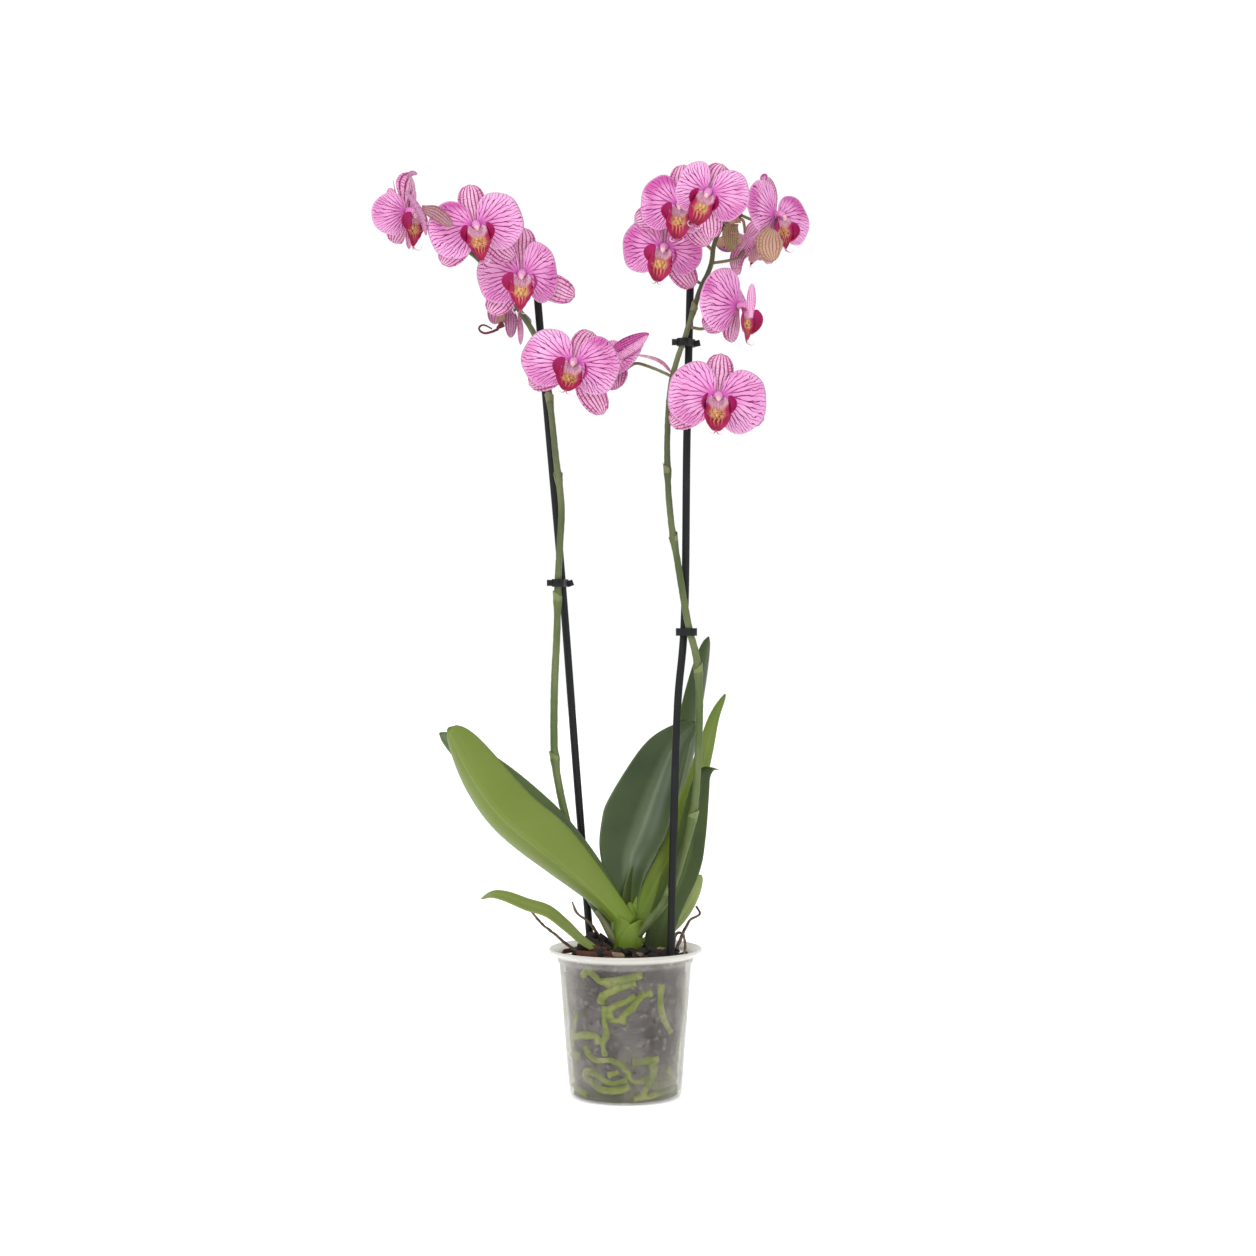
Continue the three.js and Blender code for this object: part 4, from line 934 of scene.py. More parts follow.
# Folded petals and sepals of the blooms seen from behind or from the side, each a thin strap: its route,
# half its width, how far its middle lies behind its edges, and its material. A name starts with its
# bloom's letter.
SLIPS = {
    "a_back": ([(-157.5, -32, 690.2), (-145, -44, 684.2), (-132, -54, 672.6)], 5.5, 1, SLIP_BROWN),
    "a_spur": ([(-169.8, -28, 703.8), (-162.5, -34, 694), (-156, -36, 681.5),
                (-153.4, -34, 669)], 2.7, 1.2, SLIP_MAUVE),
    "a_patch": ([(-178.6, -6, 697.9), (-182.8, -3, 705.5), (-185.4, 0, 711.6)], 4, 0.6, SLIP_PINK),
    "a_hook": ([(-170, -18, 716), (-166, -19, 719.6), (-161.5, -19, 719.2)], 2, 0.3, SLIP_MAUVE),
    "m_spike": ([(96.6, -30, 606), (97, -31, 618), (97.6, -32, 632)], 3.6, 0.8, SLIP_PINK),
    "l_shell": ([(115, -22, 677.2), (111.6, -28, 667), (112, -28, 657.7),
                 (115, -23, 650.7)], 10.4, 5, SHELL_BEIGE),
    "l_hook": ([(110.8, -3, 714.1), (108, -4, 718.6), (110.8, -2, 722.2)], 2.6, 0.5, SLIP_MAGENTA),
    "j_shell": ([(85.7, -4, 684.2), (82.2, -11, 676), (82.2, -11, 667.4),
                 (84, -7, 661)], 6.6, 3.5, SHELL_OLIVE),
    "j_lilac": ([(90.6, 18, 673.8), (81.1, 16, 670.3), (72.1, 20, 674.1)], 6.5, 1, SLIP_MAUVE),
    "j_hood": ([(90.4, -2, 685.3), (85.6, -7, 685.6), (80.1, -6, 683.1)], 2.8, 0.8, SHELL_BEIGE),
    "j_right": ([(95.6, 22, 676.8), (100.2, 19, 682.6), (105.1, 21, 689.3)], 5, 1, SLIP_PINK),
    "k_sepal": ([(101.8, 34, 678.8), (95.9, 27, 671.3), (89.2, 22, 661.7), (88, 21, 654.4),
                 (90.1, 24, 647.3)], 6.3, 1.2, SEPAL),
    "k_petal": ([(105.2, 38, 684.2), (97, 33, 676.2), (93.7, 31, 667.1)], 5, 1, SLIP_PINK),
    "d_left": ([(-100.2, 20, 626.5), (-102.2, 13, 616.1), (-103.8, 12, 606.5)], 7, 1.5, SLIP_MAUVE),
    "d_middle": ([(-91.3, 16, 621.2), (-90.2, 9, 607.7), (-90.6, 10, 595.6)], 5.1, 1.2, SLIP_MAUVE),
    "d_right": ([(-84.3, 18, 615.2), (-83, 15, 602.1), (-83, 16, 590.7)], 2.4, 0.6, SLIP_PINK),
    "d_peach": ([(-96.5, 8, 614.6), (-98, 6, 610), (-99.4, 4, 605.5)], 3.5, 0.8, SHELL_BEIGE),
    "f_top": ([(-13, 14, 583.8), (-2.8, 5, 589.1), (7.4, 0, 593.2),
               (18.4, -2, 597.2)], 4.4, 1, SLIP_MAGENTA),
    "f_fold": ([(-9.9, 10, 576.3), (0.4, 3, 582.9), (9, -1, 588), (17.6, -2, 596.1)], 3.4, 0.8, SLIP_PINK),
    "f_low": ([(-0.4, 16, 576.9), (-6.7, 11, 566.9), (-15.4, 8, 555.6)], 5, 1, SEPAL),
    "f_pale": ([(0.4, 8, 581.6), (-8.3, 5, 571.8), (-19.3, 6, 564.4)], 2.6, 0.6, SLIP_PINK),
}
# Slender parts of the same blooms: route, radius at the start and at the end, and material.
THREADS = {
    "a_needle": ([(-177.8, -14, 700.4), (-179.9, -12, 709.3), (-181.3, -10, 715.9)], 0.6, 0.2, SLIP_MAUVE),
    "j_hook": ([(89.5, 10, 689), (92.4, 6, 687.5), (93.6, 5, 682.6), (94, 6, 677.3)], 1.3, 1.1, SHELL_OLIVE),
    "d_throat": ([(-96.6, 4, 605.4), (-98.6, 3, 603.8), (-100.6, 2, 602)], 2.6, 1.2, SLIP_MAROON),
    "d_curl": ([(-100.1, 2, 601.3), (-105.1, -1, 598.7), (-110.3, -2, 597.6), (-113.7, -2, 599.2),
                (-114.8, -1, 601.7), (-113.3, 0, 603.8), (-110.8, 1, 604.3), (-107.9, 2, 603.2),
                (-104.9, 3, 601.6)], 1.1, 0.6, SLIP_MAROON),
}


def slip_surface(points, half, cup):
    """A thin strap along a route, facing the viewer, its middle behind its edges by cup."""
    route = Route(points)

    def surface(u, v):
        ahead = route.heading(clamp(u, 0.01, 0.99))
        across = ahead.cross(Vector((0, -1, 0))).normalized()
        share = lerp(0.5, 1, ease(u, 0, 0.45)) * max(0.02, 1 - clamp((u - 0.5) / 0.5) ** 2) ** 0.5
        point = route.at(u) + across * half * share * v
        return point + across.cross(ahead) * cup * share * (v * v - 1)

    return surface


for name, (points, half, cup, material) in SLIPS.items():
    mesh = new_mesh()
    blade(mesh, 32, 26, THICK["slip"], slip_surface(points, half, cup), flip=-1)
    keep(f"slip_{name}", mesh, material, "bloom", f"bloom_{name[0]}")
for name, (points, start, end, material) in THREADS.items():
    mesh = new_mesh()
    tube(mesh, points, lambda t: lerp(start, end, t), 12, 40)
    keep(f"thread_{name}", mesh, material, "bloom", f"bloom_{name[0]}")

# ---- Spikes, stalks and bract ----

# Each spike: its stem's route, its radius at the foot and at the tip, and where along it the knuckles sit.
STEMS = {
    "left": dict(
        route=[(-3, 7, 124), (-22, 15, 143), (-38, 18, 184), (-49, 17, 224), (-55.5, 11, 262), (-56, 4, 312),
               (-53.7, 1, 365), (-53, 2, 402), (-51.4, 0, 432), (-50.1, -1, 461), (-53.7, -2, 494),
               (-58.8, -3, 541), (-63.2, -4, 573), (-71.1, -3, 596), (-82.8, -1, 615), (-98.5, 2, 638),
               (-122, 3, 662), (-145, 4, 676), (-158, 6, 683)],
        foot=3.3, tip=1.9, knuckles=(0.065, 0.25, 0.455, 0.61, 0.71)),
    "right": dict(
        route=[(6, -6, 122), (20, -8, 139), (32.6, -8, 156), (45.8, -7, 193), (52.7, -7, 220.5),
               (56.6, -8, 264), (57.3, -10, 326), (54.1, -12, 349.5), (50.2, -13, 363.5), (45.5, -14, 388),
               (41.6, -13, 412), (35.5, -9, 451), (33.2, -6, 482), (32.9, -4, 521.5), (35.6, -2, 557),
               (40.3, -2, 576.5), (45.8, -3, 592), (52.1, -3, 611.6), (58.3, -2, 631), (67, 0, 651),
               (69.5, 2, 667), (74.2, 4, 679), (83, 6, 688), (91.7, 7, 692.4)],
        foot=3.3, tip=1.8, knuckles=(0.075, 0.18, 0.37, 0.545, 0.635, 0.85)),
}
# A knuckle: how far it reaches to each side, as a share of the stem's length, and how much it swells.
KNUCKLE = {"reach": 0.0075, "swell": 0.3}
# A knuckle's sheath: the share of the stem it wraps, its lower and upper edge from the knuckle's middle,
# how much lower its upper edge is at its sides, its gap to the stem, its thickness, how far its top stands
# off, and how far each is turned from the one before.
SHEATH = {"round": 0.72, "low": -1.5, "high": 7.5, "slant": 0.75, "clear": 0.25, "thick": 0.35,
          "flare": 0.5, "turn": 2.6}
# A bloom's stalk: its radius and how much it widens at the bloom, how far behind the face it ends, where
# it lines up with the bloom, and the gap it leaves.
STALK_FORM = {"radius": 1.25, "swell": 0.35, "neck": 6.5, "before": 11.5, "gap": 0.35}


def stem_radius(stem, t):
    """A stem's radius, which tapers to its tip and swells at each knuckle."""
    near = min(abs(k - t) for k in stem["knuckles"]) / KNUCKLE["reach"]
    swell = KNUCKLE["swell"] * math.exp(-near * near * 0.8)
    return lerp(stem["foot"], stem["tip"], t**1.2) * (1 + swell)


def sheath_shape(mesh, route, t, size, turned):
    """A dry sheath wrapped round a knuckle, long on one side and open on the other."""
    middle, ahead = route.at(t), route.heading(t)
    level = Vector((0, 0, 1)).cross(ahead)
    out = (ahead.cross(level) if level.length > 0.05 else Vector((0, -1, 0))).normalized()
    other = ahead.cross(out)

    def place(x, y):
        v = front_then_back(x)
        turn = math.pi * v * SHEATH["round"] + turned
        thick = SHEATH["thick"] if x <= 0.5 else 0.02
        rise = lerp(SHEATH["low"], SHEATH["high"] * (1 - SHEATH["slant"] * abs(v)), y)
        way = out * math.cos(turn) + other * math.sin(turn)
        return middle + ahead * rise + way * (size + SHEATH["clear"] + thick + SHEATH["flare"] * y * y)

    wrap(mesh, 28, 6, place)


def make_spike(side):
    """A spike: its stem, the sheaths round its knuckles and the stalks of its blooms."""
    stem = STEMS[side]
    mesh = new_mesh()
    tube(mesh, stem["route"], lambda t: stem_radius(stem, t), 20, 260, rough=0.25)
    keep(f"spike_stem_{side}", mesh, SPIKE, "spike", f"spike_{side}")

    sheaths = new_mesh()
    route = Route(stem["route"])
    for k, t in enumerate(stem["knuckles"]):
        sheath_shape(sheaths, route, t, stem_radius(stem, t + 0.01), k * SHEATH["turn"])
    keep(f"spike_sheaths_{side}", sheaths, SHEATH_GREEN, "spike", f"spike_{side}")

    stalks = new_mesh()
    form = STALK_FORM
    for row in BLOOMS.values():
        if row["spike"] == side:
            stand = facing(row["at"], row["faces"], row["size"])
            before = stand @ Vector((0, 0, -form["before"]))
            end = stand @ Vector((0, 0, -form["neck"] - form["gap"] / row["size"]))
            tube(stalks, [*row["stalk"], before, end],
                 lambda t: form["radius"] + form["swell"] * ease(t, 0.85, 1), 12, 40, rough=0.15)
    keep(f"stalks_{side}", stalks, STALK, "spike", f"spike_{side}")


make_spike("left")
make_spike("right")

# A folded pink bract that reaches from the right spike towards bloom f.
bract = new_mesh()
tube(bract, [(36.2, -2, 566.5), (28.5, -8, 574), (18, -12.5, 577.8), (8.5, -15.5, 579)],
     lambda t: 0.6 + 1.1 * math.sin(math.pi * clamp(t) ** 0.7), 12, 24, flat=0.5)
keep("bract_blade_right", bract, BRACT, "bract", "bract_right")

# ---- Stakes and clips ----

STAKES = {
    "left": [(-23, 28, 60), (-28, 29, 116), (-39, 25, 254), (-50, 14, 402), (-62.5, 9, 546), (-70, 8, 635)],
    "right": [(34, -23, 60), (35.2, -23, 113), (36.5, -19, 171), (40.9, -10, 310), (45.7, -6.5, 363.5),
              (48.2, 1, 514), (51, 8.5, 636)],
}
STAKE_RADIUS = 3
for side, points in STAKES.items():
    mesh = new_mesh()
    tube(mesh, points, STAKE_RADIUS, 24, 60)
    keep(f"stake_rod_{side}", mesh, STAKE, "stake", f"stake_{side}")

# A clip is the solid itself, which is in metres, its flat faces joined and its edges softened.
for name in ("clip_left", "clip_right_low", "clip_right_high"):
    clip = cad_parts[name]
    mesh = new_mesh()
    mesh.from_mesh(clip.data)
    bmesh.ops.remove_doubles(mesh, verts=mesh.verts, dist=1e-6)
    bmesh.ops.dissolve_limit(mesh, angle_limit=0.03, verts=mesh.verts, edges=mesh.edges)
    piece = keep(f"{name}_band", mesh, CLIP, "clip", name, scale=1)
    soften = piece.modifiers.new("soft_edges", "BEVEL")
    soften.width = 0.0004
    soften.segments = 2
    soften.limit_method = "ANGLE"

# ---- Leaves and crown ----

# How far a leaf's halves and its groove sink, how broad the groove is, and how a leaf closes unless its
# row says.
LEAF_FORM = {"bow": 0.12, "groove": 0.05, "groove_half": 0.07, "closes": 0.6, "tip": 2.2}
# Each leaf: its midrib from the crown out, the steps from the midrib to its two edges at the widest, its
# width at the crown as a share of that, and for some where along it it starts to close and how late it
# comes to a point.
LEAVES = {
    "leaf_front_left": dict(
        rib=[(2, -8, 130), (-17, -14, 153), (-53, -21, 186), (-93, -23, 219.5), (-115, -19, 247),
             (-139, -10, 288.5)],
        edges=[(17, 10, 20), (-9, 24, -12)], foot=0.42, tip=2.1, material=LEAF_LIME, slot="young_leaf"),
    "leaf_back_left": dict(
        rib=[(0, 1, 136), (-23, 1, 171), (-62, 5, 213), (-105, 18, 249), (-130, 26, 267), (-149, 33, 283)],
        edges=[(10, 4, 11), (-4, 7, -11)], foot=0.5, material=LEAF_DARK, slot="leaf"),
    "leaf_low_left": dict(
        rib=[(-8, -12, 108), (-31, -22, 122.5), (-46, -27, 136.5), (-60, -32, 148), (-76, -38, 154),
             (-92, -44, 161), (-102, -48, 163), (-110.5, -51, 160)],
        edges=[(1, 9, 4), (-1, -9, -3)], foot=0.42, material=LEAF_OLIVE, slot="leaf"),
    "leaf_broad": dict(
        rib=[(1, 3, 138), (2, 12, 182), (11, 24, 206), (23.5, 38, 239.5), (37, 49, 271), (48, 54, 284),
             (57, 57, 291)],
        edges=[(-31, -10, 11), (20, -13, -8)], foot=0.42, closes=0.45, tip=1.15, material=LEAF_DARK,
        slot="leaf"),
    "leaf_tall": dict(
        rib=[(5, 6, 138), (12, 16, 168), (24, 29, 190), (36, 44, 215), (48, 60, 258), (58, 68, 309),
             (68, 70, 360)],
        edges=[(-12, -12, 4), (6, 16, -2)], foot=0.85, material=LEAF_MID, slot="leaf"),
    "leaf_narrow_right": dict(
        rib=[(8, 0, 134), (24, 8, 166), (40, 20, 196), (53, 28, 230), (64.5, 33, 269.5), (71.6, 35, 296),
             (80, 36, 314)],
        edges=[(-10, -3, 4), (8, 6, -3)], foot=0.85, closes=0.55, tip=0.85, material=LEAF_LIME,
        slot="young_leaf"),
    "leaf_front_right": dict(
        rib=[(23, 4, 112), (33, 7, 145), (46, 8, 176), (52.5, 8, 205), (58.5, 7, 239), (61.5, 4, 252),
             (66, 0, 256.5), (73, -5, 256)],
        edges=[(-12, -1, 4), (12, 3, -4)], foot=0.85, closes=0.5, tip=1.1, material=LEAF_MID, slot="leaf"),
    "leaf_small_right": dict(
        rib=[(14, 4, 118), (31, 15, 126), (46, 28, 141), (55, 35, 156), (61, 38, 169)],
        edges=[(-6, -5, 6), (5, 8, -4)], foot=0.6, material=LEAF_OLIVE, slot="leaf"),
}


def make_leaf(name, leaf):
    """A strap leaf along its midrib: its halves bowed, with a groove down its middle."""
    route = Route(leaf["rib"])
    upper, lower = (Vector(edge) for edge in leaf["edges"])
    closes, tip = leaf.get("closes", LEAF_FORM["closes"]), leaf.get("tip", LEAF_FORM["tip"])

    def surface(u, v):
        opening = lerp(leaf["foot"], 1, ease(u, 0, 0.5))
        closing = clamp((u - closes) / (1 - closes)) ** tip
        share = opening * math.sqrt(max(0.004, 1 - closing))
        bow = LEAF_FORM["bow"] * math.sin(math.pi * abs(v))
        groove = LEAF_FORM["groove"] * math.exp(-((v / LEAF_FORM["groove_half"]) ** 2))
        sunk = (upper + lower) * -(bow + groove) * share
        side = upper if v > 0 else lower
        return route.at(lerp(0.002, 0.998, u)) + side * abs(v) * share + sunk

    mesh = new_mesh()
    blade(mesh, 64, 56, THICK["leaf"], surface, roundness=6)
    keep(f"{name}_blade", mesh, leaf["material"], leaf["slot"], name)


for name, leaf in LEAVES.items():
    make_leaf(name, leaf)


# Levels of the crown: share of its length, height, size, and how far its middle stands to the right and
# back.
CROWN_LEVELS = [[0, 92, 0.5, 2, -1], [0.25, 108, 0.75, 1.5, -2], [0.48, 122, 0.9, 1, -2],
                [0.74, 136, 0.8, 1.5, -1], [0.9, 147, 0.46, 3, 1.5], [1, 151.5, 0.12, 3.5, 2]]
CROWN_HALF = {"wide": 11, "deep": 10}
# The feet of two leaves, folded round the crown: the way each faces and how far it reaches to each side in
# degrees, its lowest and highest edge, and how far out it lies.
LEAF_FEET = ((205, 120, 108, 143, 1.2), (340, 110, 106, 139, 2.0))


FOOT_FORM = {"sides": 16, "size": 8.6, "swell": 1.6, "flare": 3.0}


def foot_surface(middle, spread, low, high, out):
    """A leaf's foot: a fold round the crown, highest at its middle, that opens towards its top."""
    form = FOOT_FORM

    def surface(u, v):
        turn = math.radians(middle + spread * v)
        z = lerp(low, lerp(high, low + form["sides"], abs(v) ** 2.4), u)
        size = form["size"] + out + form["swell"] * ease(z, 105, 128) + form["flare"] * ease(z, 132, 150)
        return Vector((1 + size * math.cos(turn), -2 + 0.9 * size * math.sin(turn), z))

    return surface


def make_crown():
    """The short stem that the leaves clasp, and the folded feet that wrap it."""

    def place(x, y):
        z, share, right, back = along_table(CROWN_LEVELS, y)
        turn = 2 * math.pi * x
        fold = 1 + 0.05 * math.sin(3 * turn + z * 0.09) - 0.05 * abs(math.sin(1.5 * turn + z * 0.05))
        return Vector((right + CROWN_HALF["wide"] * share * fold * math.cos(turn),
                       back + CROWN_HALF["deep"] * share * fold * math.sin(turn), z))

    mesh = new_mesh()
    wrap(mesh, 36, 30, place)
    keep("crown_body", mesh, CROWN, "crown", "crown")

    feet = new_mesh()
    for foot in LEAF_FEET:
        blade(feet, 48, 24, THICK["leaf_foot"], foot_surface(*foot), roundness=6)
    keep("crown_feet", feet, CROWN, "crown", "crown")


make_crown()

# ---- Pot ----

POT_SIZE = {"height": 116, "foot": 44, "step_height": 105, "step": 52, "rim": 60, "wall": 1.2, "corner": 4}
DRAINS = {"count": 6, "radius": 3.5, "circle": 29, "depth": 20}


def inner_radius(z):
    """The pot's radius inside its wall at a height."""
    share = (z - POT_SIZE["corner"]) / (POT_SIZE["step_height"] - POT_SIZE["corner"])
    return lerp(POT_SIZE["foot"], POT_SIZE["step"], share) - POT_SIZE["wall"]


def make_pot():
    """The pot, spun from its outline: up the outside, over the rolled flange and down the inside."""
    foot, step, rim = POT_SIZE["foot"], POT_SIZE["step"], POT_SIZE["rim"]
    tall, ledge, wall = POT_SIZE["height"], POT_SIZE["step_height"], POT_SIZE["wall"]
    outline = [
        (0, 0), (foot - 6, 0), (foot - 3.2, 0.4), (foot - 1.2, 1.4), (foot - 0.3, 2.8), (foot, 5),
        (lerp(foot, step, 0.5), 54), (step - 0.6, ledge - 6), (step, ledge), (step + 1, ledge + 0.8),
        (step + 1.6, ledge + 4.5), (step + 2.6, ledge + 6.2), (rim - 2, tall - 3.4), (rim - 0.4, tall - 2.6),
        (rim, tall - 1.6), (rim - 0.2, tall - 0.4), (rim - 0.9, tall), (step + 1.6, ledge + 7.4),
        (step + 0.4, ledge + 6.2), (step - wall + 0.1, ledge), (lerp(foot, step, 0.5) - wall, 54),
        (foot - wall, 5), (foot - wall - 1, 2.6), (foot - 5, wall), (0, wall),
    ]
    mesh = new_mesh()
    corners = [mesh.verts.new((r, 0, z)) for r, z in outline]
    edges = [mesh.edges.new(pair) for pair in zip(corners, corners[1:])]
    bmesh.ops.spin(mesh, geom=corners + edges, axis=(0, 0, 1), cent=(0, 0, 0), steps=96,
                   angle=2 * math.pi, use_merge=True)
    bmesh.ops.remove_doubles(mesh, verts=mesh.verts, dist=1e-3)
    piece = keep("pot_wall", mesh, POT, "pot", "pot")
    drill = new_mesh()
    radius = DRAINS["radius"] * MM
    for k in range(DRAINS["count"]):
        turn = 2 * math.pi * (k + 0.5) / DRAINS["count"]
        middle = Vector((math.cos(turn), math.sin(turn), 0)) * DRAINS["circle"] * MM
        bmesh.ops.create_cone(drill, cap_ends=True, segments=20, radius1=radius, radius2=radius,
                              depth=DRAINS["depth"] * MM, matrix=Matrix.Translation(middle))
    data = bpy.data.meshes.new("drain_drill")
    drill.to_mesh(data)
    drill.free()
    tool = bpy.data.objects.new("drain_drill", data)
    scene.collection.objects.link(tool)
    holes = piece.modifiers.new("drains", "BOOLEAN")
    holes.object = tool
    holes.operation = "DIFFERENCE"
    holes.solver = "EXACT"
    bpy.context.view_layer.objects.active = piece
    with bpy.context.temp_override(object=piece, active_object=piece, selected_objects=[piece]):
        bpy.ops.object.modifier_apply(modifier="drains")
    bpy.data.objects.remove(tool)
    for face in piece.data.polygons:
        face.use_smooth = True
    piece.data.materials.clear()
    piece.data.materials.append(POT)


make_pot()

# ---- Roots ----

# The roots seen through the front of the wall: degrees round from the front, and height.
WALL_ROOTS = [
    [(-45, 99), (-37, 103), (-29, 99), (-25, 96), (-9, 97), (5, 100), (16, 101)],
    [(-19, 93), (-9, 96), (3, 98), (14, 100)],
    [(-25, 79), (-23, 83), (-13, 89), (0, 93), (10, 95)],
    [(26, 87), (16, 85), (9, 78), (0, 71), (-8, 66), (-16, 67)],
    [(-14, 67), (-16, 73), (-8, 78), (3, 82), (10, 85)],
    [(-4, 64), (0, 71), (9, 76)],
    [(-20, 77), (-21, 66), (-20, 55), (-24, 46), (-21, 38)],
    [(36, 93), (37, 76), (43, 64), (54, 54)],
    [(-58, 70), (-65, 56), (-76, 41)],
    [(-70, 48), (-49, 52), (-31, 52), (-29, 47)],
    [(-46, 44), (-42, 38), (-32, 34), (-18, 35), (-5, 32), (2, 26), (6, 20), (16, 18), (26, 21)],
    [(5, 15), (-7, 12), (-19, 11), (-30, 12), (-39, 16), (-51, 21), (-44, 25), (-35, 23), (-16, 17),
     (2, 20)],
    [(-19, 23), (-7, 26)],
    [(30, 33), (32, 27), (30, 20), (23, 12), (17, 6)],
    [(7, 34), (21, 34), (37, 35)],
    [(50, 27), (60, 21), (76, 14)],
    [(-75, 34), (-57, 35)],
]
ROOT_FORM = {"radius": 3.05, "sunk": 1.4, "coil_sunk": 0.9, "clear": 3.2, "at_back": 9}


def on_wall(degrees, z, sunk=ROOT_FORM["sunk"]):
    """A place for a root's middle, its radius and a little more inside the wall."""
    angle = math.radians(degrees - 90)
    r = inner_radius(z) - (ROOT_FORM["radius"] + sunk)
    return (r * math.cos(angle), r * math.sin(angle), z)


def make_roots():
    """The roots against the wall: the traced ones, plain ones round the back, and one coiled at the base."""
    mesh = new_mesh()
    radius = ROOT_FORM["radius"]
    for line in WALL_ROOTS:
        points = [on_wall(degrees, max(z, radius + ROOT_FORM["clear"])) for degrees, z in line]
        thick = radius * chance.uniform(0.92, 1.25)
        tube(mesh, points, lambda t: thick * (1 - 0.2 * t + 0.08 * math.sin(14 * t)), 14, 60, rough=0.5)
    for k in range(ROOT_FORM["at_back"]):
        start = lerp(88, 272, k / (ROOT_FORM["at_back"] - 1))
        points = [on_wall(start + chance.uniform(-14, 14), lerp(96, 14, step / 5)) for step in range(6)]
        tube(mesh, points, lambda t: radius * (0.95 - 0.3 * t), 12, 44, rough=0.5)
    coil = [on_wall(9 + 19 * k, 6.8 + 1.8 * math.sin(1.1 * k - 1.4), ROOT_FORM["coil_sunk"])
            for k in range(17)]
    tube(mesh, coil, radius * 0.85, 12, 150, rough=0.5)
    keep("roots_on_wall", mesh, ROOT, "root", "roots")


make_roots()

# The stump of an old flower stalk, on the crown's left.
stump = new_mesh()
tube(stump, [(-7, -5, 120), (-11.5, -8, 127), (-17, -9, 137), (-22.5, -9, 146)],
     lambda t: 3.4 - 1.4 * t, 14, 30)
keep("old_stalk_stump", stump, STALK, "crown", "crown")

# Dried roots in the air above the bark.
AIR_ROOTS = {
    "air_root_left": [(-30, -14, 110), (-45.5, -19, 121), (-54, -24, 129), (-64, -27, 137.5),
                      (-73, -29, 148)],
    "air_root_back": [(-17, 12, 112), (-22, 10, 125), (-29, 8, 135), (-38, 7, 142), (-42, 6, 151)],
    "air_root_right": [(40, 16, 112), (51, 20, 134.7), (59, 21, 140), (56, 22, 146)],
    "air_root_loop": [(36, -6, 108), (40, -7, 128), (44.5, -10, 128), (46.5, -14, 119), (44.5, -17, 108)],
}
for name, points in AIR_ROOTS.items():
    mesh = new_mesh()
    tube(mesh, points, lambda t: 1.5 - 0.7 * t, 10, 40, rough=0.4)
    keep(f"{name}_skin", mesh, ROOT_DRY, "air_root", name)

# ---- Bark ----

FILL_HEIGHT = {"low": 2, "top": 106}


def make_fill():
    """The bark that fills the pot, a little inside its wall so that the roots stand out of it."""

    def place(x, y):
        turn = 2 * math.pi * x
        z = lerp(FILL_HEIGHT["low"], FILL_HEIGHT["top"], y)
        lumps = noise.noise(Vector((3 * math.cos(turn), 3 * math.sin(turn), z * 0.09)))
        clear = lerp(2.4, 3.4, ease(z, 4, 10)) - lumps * ease(z, 2, 14)
        r = inner_radius(max(z, POT_SIZE["corner"])) - clear
        return Vector((r * math.cos(turn), r * math.sin(turn), z))

    mesh = new_mesh()
    wrap(mesh, 120, 60, place)
    keep("bark_fill", mesh, FILL, "bark", "bark")


def chip(mesh, where, size, turn):
    """One split chip of bark: a slab with chamfered, uneven corners."""
    stand = Matrix.Translation(where) @ Euler(turn).to_matrix().to_4x4() @ Matrix.Diagonal((*size, 1))
    made = bmesh.ops.create_cube(mesh, size=1, matrix=stand)
    for corner in made["verts"]:
        corner.co += Vector(chance.uniform(-0.16, 0.16) * min(size) * 2 for _ in range(3))
    edges = list({edge for corner in made["verts"] for edge in corner.link_edges})
    bmesh.ops.bevel(mesh, geom=edges, offset=0.9, affect="EDGES", segments=2, profile=0.5, material=-1)


# The chips scattered on the heap: material and how many are tried.
CHIPS = {"dark": (BARK, 74), "red": (BARK_RED, 16), "pale": (BARK_PALE, 9)}
HEAP = {"spread": 46, "radius": 50, "rise": 9, "left_rise": 3, "crown_clear": 11}
# The chips placed one by one at the front of the heap: middle, size and turn.
FRONT_CHIPS = {
    "dark": [((-24, -8, 119), (13, 8, 5), (0.4, 0.5, 0.3)), ((-33, -14, 117), (12, 7, 5), (-0.3, 0.6, 1.2)),
             ((-14, -14, 118), (11, 6, 4), (0.5, -0.3, 2.2)), ((-29, 4, 121), (14, 8, 5), (0.2, -0.6, 0.7)),
             ((-18, 2, 122), (10, 7, 5), (0.8, 0.3, 1.6)), ((22, -20, 115), (12, 7, 4), (0.3, 0.4, 0.4))],
    "red": [((-30, -34, 115), (16, 8, 4), (0.5, 0.1, 0.35)),
            ((-12, -30, 115), (11, 6, 4), (0.4, -0.2, 2.6))],
    "pale": [((-6, -38, 115), (9, 5, 3.5), (0.5, 0.2, 0.5)), ((12, -33, 115), (7, 4, 3), (0.3, 0.3, 1.1))],
}


def make_chips():
    """Chips over the heap, clear of the crown, the heap a little higher on its left."""
    for tone, (material, count) in CHIPS.items():
        mesh = new_mesh()
        for _ in range(count):
            r = HEAP["spread"] * math.sqrt(chance.random())
            turn = chance.uniform(0, 2 * math.pi)
            x, y = r * math.cos(turn), r * math.sin(turn)
            if math.hypot(x - 2, y + 2) < HEAP["crown_clear"]:
                continue
            rise = HEAP["rise"] * (1 - (r / HEAP["radius"]) ** 2) + (HEAP["left_rise"] if x < -10 else 0)
            size = (chance.uniform(8, 17), chance.uniform(5, 10), chance.uniform(2.5, 5))
            chip(mesh, Vector((x, y, FILL_HEIGHT["top"] + rise + chance.uniform(-2, 2))), size,
                 [chance.uniform(-0.5, 0.5), chance.uniform(-0.5, 0.5), chance.uniform(0, 6.3)])
        for where, size, turn in FRONT_CHIPS[tone]:
            chip(mesh, Vector(where), size, turn)
        keep(f"bark_chips_{tone}", mesh, material, "bark", "bark")


make_fill()
make_chips()

# ---- Floor and light, in metres ----

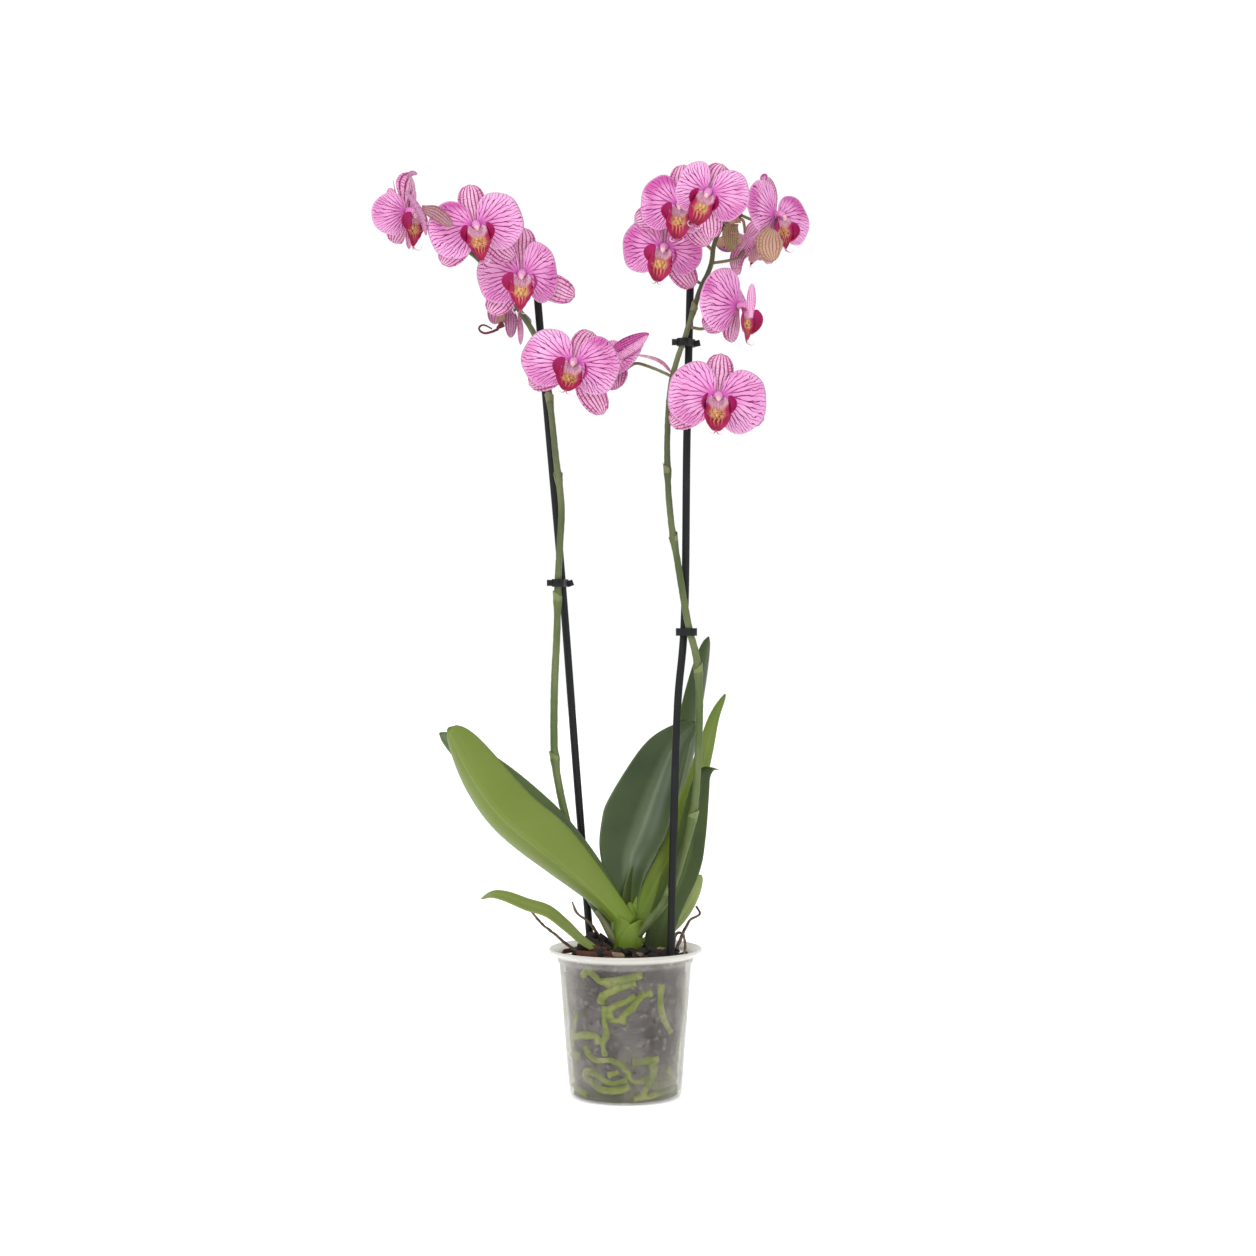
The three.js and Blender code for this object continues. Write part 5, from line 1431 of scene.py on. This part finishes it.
FLOOR = {"radius": 9, "below": 0.0002, "glow": 0.4}
# The studio's light: its strength all round, and how it brightens to the back (1) and up (2): where it
# starts, where it is brightest and by how much.
STUDIO = {"all_round": 0.6, "brighter": ((1, 0.3, 0.85, 0.42), (2, 0.35, 0.9, 0.42))}


def make_floor():
    """The white floor that the plant stands on, which is no part of it."""
    mesh = new_mesh()
    bmesh.ops.create_circle(mesh, cap_ends=True, radius=FLOOR["radius"], segments=96)
    data = bpy.data.meshes.new("floor")
    mesh.to_mesh(data)
    mesh.free()
    floor = bpy.data.objects.new("floor", data)
    floor.location.z = -FLOOR["below"]
    paint = Paint("floor_white", 0.95, Emission_Color=(1, 1, 1, 1), Emission_Strength=FLOOR["glow"])
    white = paint.mix(paint.cloud(3, 2), (0.93, 0.93, 0.93, 1), (0.96, 0.96, 0.96, 1))
    data.materials.append(paint.done(white))
    scene.collection.objects.link(floor)


def lamp(name, place, aim, size, power):
    """A soft square lamp at a place, turned to a point."""
    light = bpy.data.lights.new(name, "AREA")
    light.size = size
    light.energy = power
    stand = bpy.data.objects.new(name, light)
    stand.location = place
    stand.rotation_euler = (Vector(aim) - Vector(place)).to_track_quat("-Z", "Y").to_euler()
    scene.collection.objects.link(stand)


def set_studio():
    """A white studio: full brightness behind the plant and overhead, dimmer on the camera's side."""
    world = bpy.data.worlds.new("studio")
    world.use_nodes = True
    tree = world.node_tree

    def plus(a, b):
        node = tree.nodes.new("ShaderNodeMath")
        node.operation = "ADD"
        tree.links.new(a, node.inputs[0])
        tree.links.new(b, node.inputs[1])
        return node.outputs[0]

    split = tree.nodes.new("ShaderNodeSeparateXYZ")
    tree.links.new(tree.nodes.new("ShaderNodeTexCoord").outputs["Generated"], split.inputs[0])
    glows = []
    for axis, start, end, gain in STUDIO["brighter"]:
        share = tree.nodes.new("ShaderNodeMapRange")
        share.interpolation_type = "SMOOTHSTEP"
        for socket, value in (("From Min", start), ("From Max", end), ("To Min", 0.0), ("To Max", gain)):
            share.inputs[socket].default_value = value
        tree.links.new(split.outputs[axis], share.inputs["Value"])
        glows.append(share.outputs["Result"])
    all_round = tree.nodes.new("ShaderNodeValue").outputs[0]
    all_round.default_value = STUDIO["all_round"]
    backdrop = tree.nodes["Background"]
    tree.links.new(plus(plus(*glows), all_round), backdrop.inputs["Strength"])
    backdrop.inputs["Color"].default_value = (1, 1, 1, 1)
    scene.world = world


make_floor()
lamp("key", place=(-1.2, -1.6, 2.0), aim=(0, 0, 0.4), size=1.2, power=24)
lamp("fill", place=(1.7, -1.4, 1.1), aim=(0, 0, 0.4), size=1.6, power=6)
set_studio()
scene.view_settings.view_transform = "Standard"
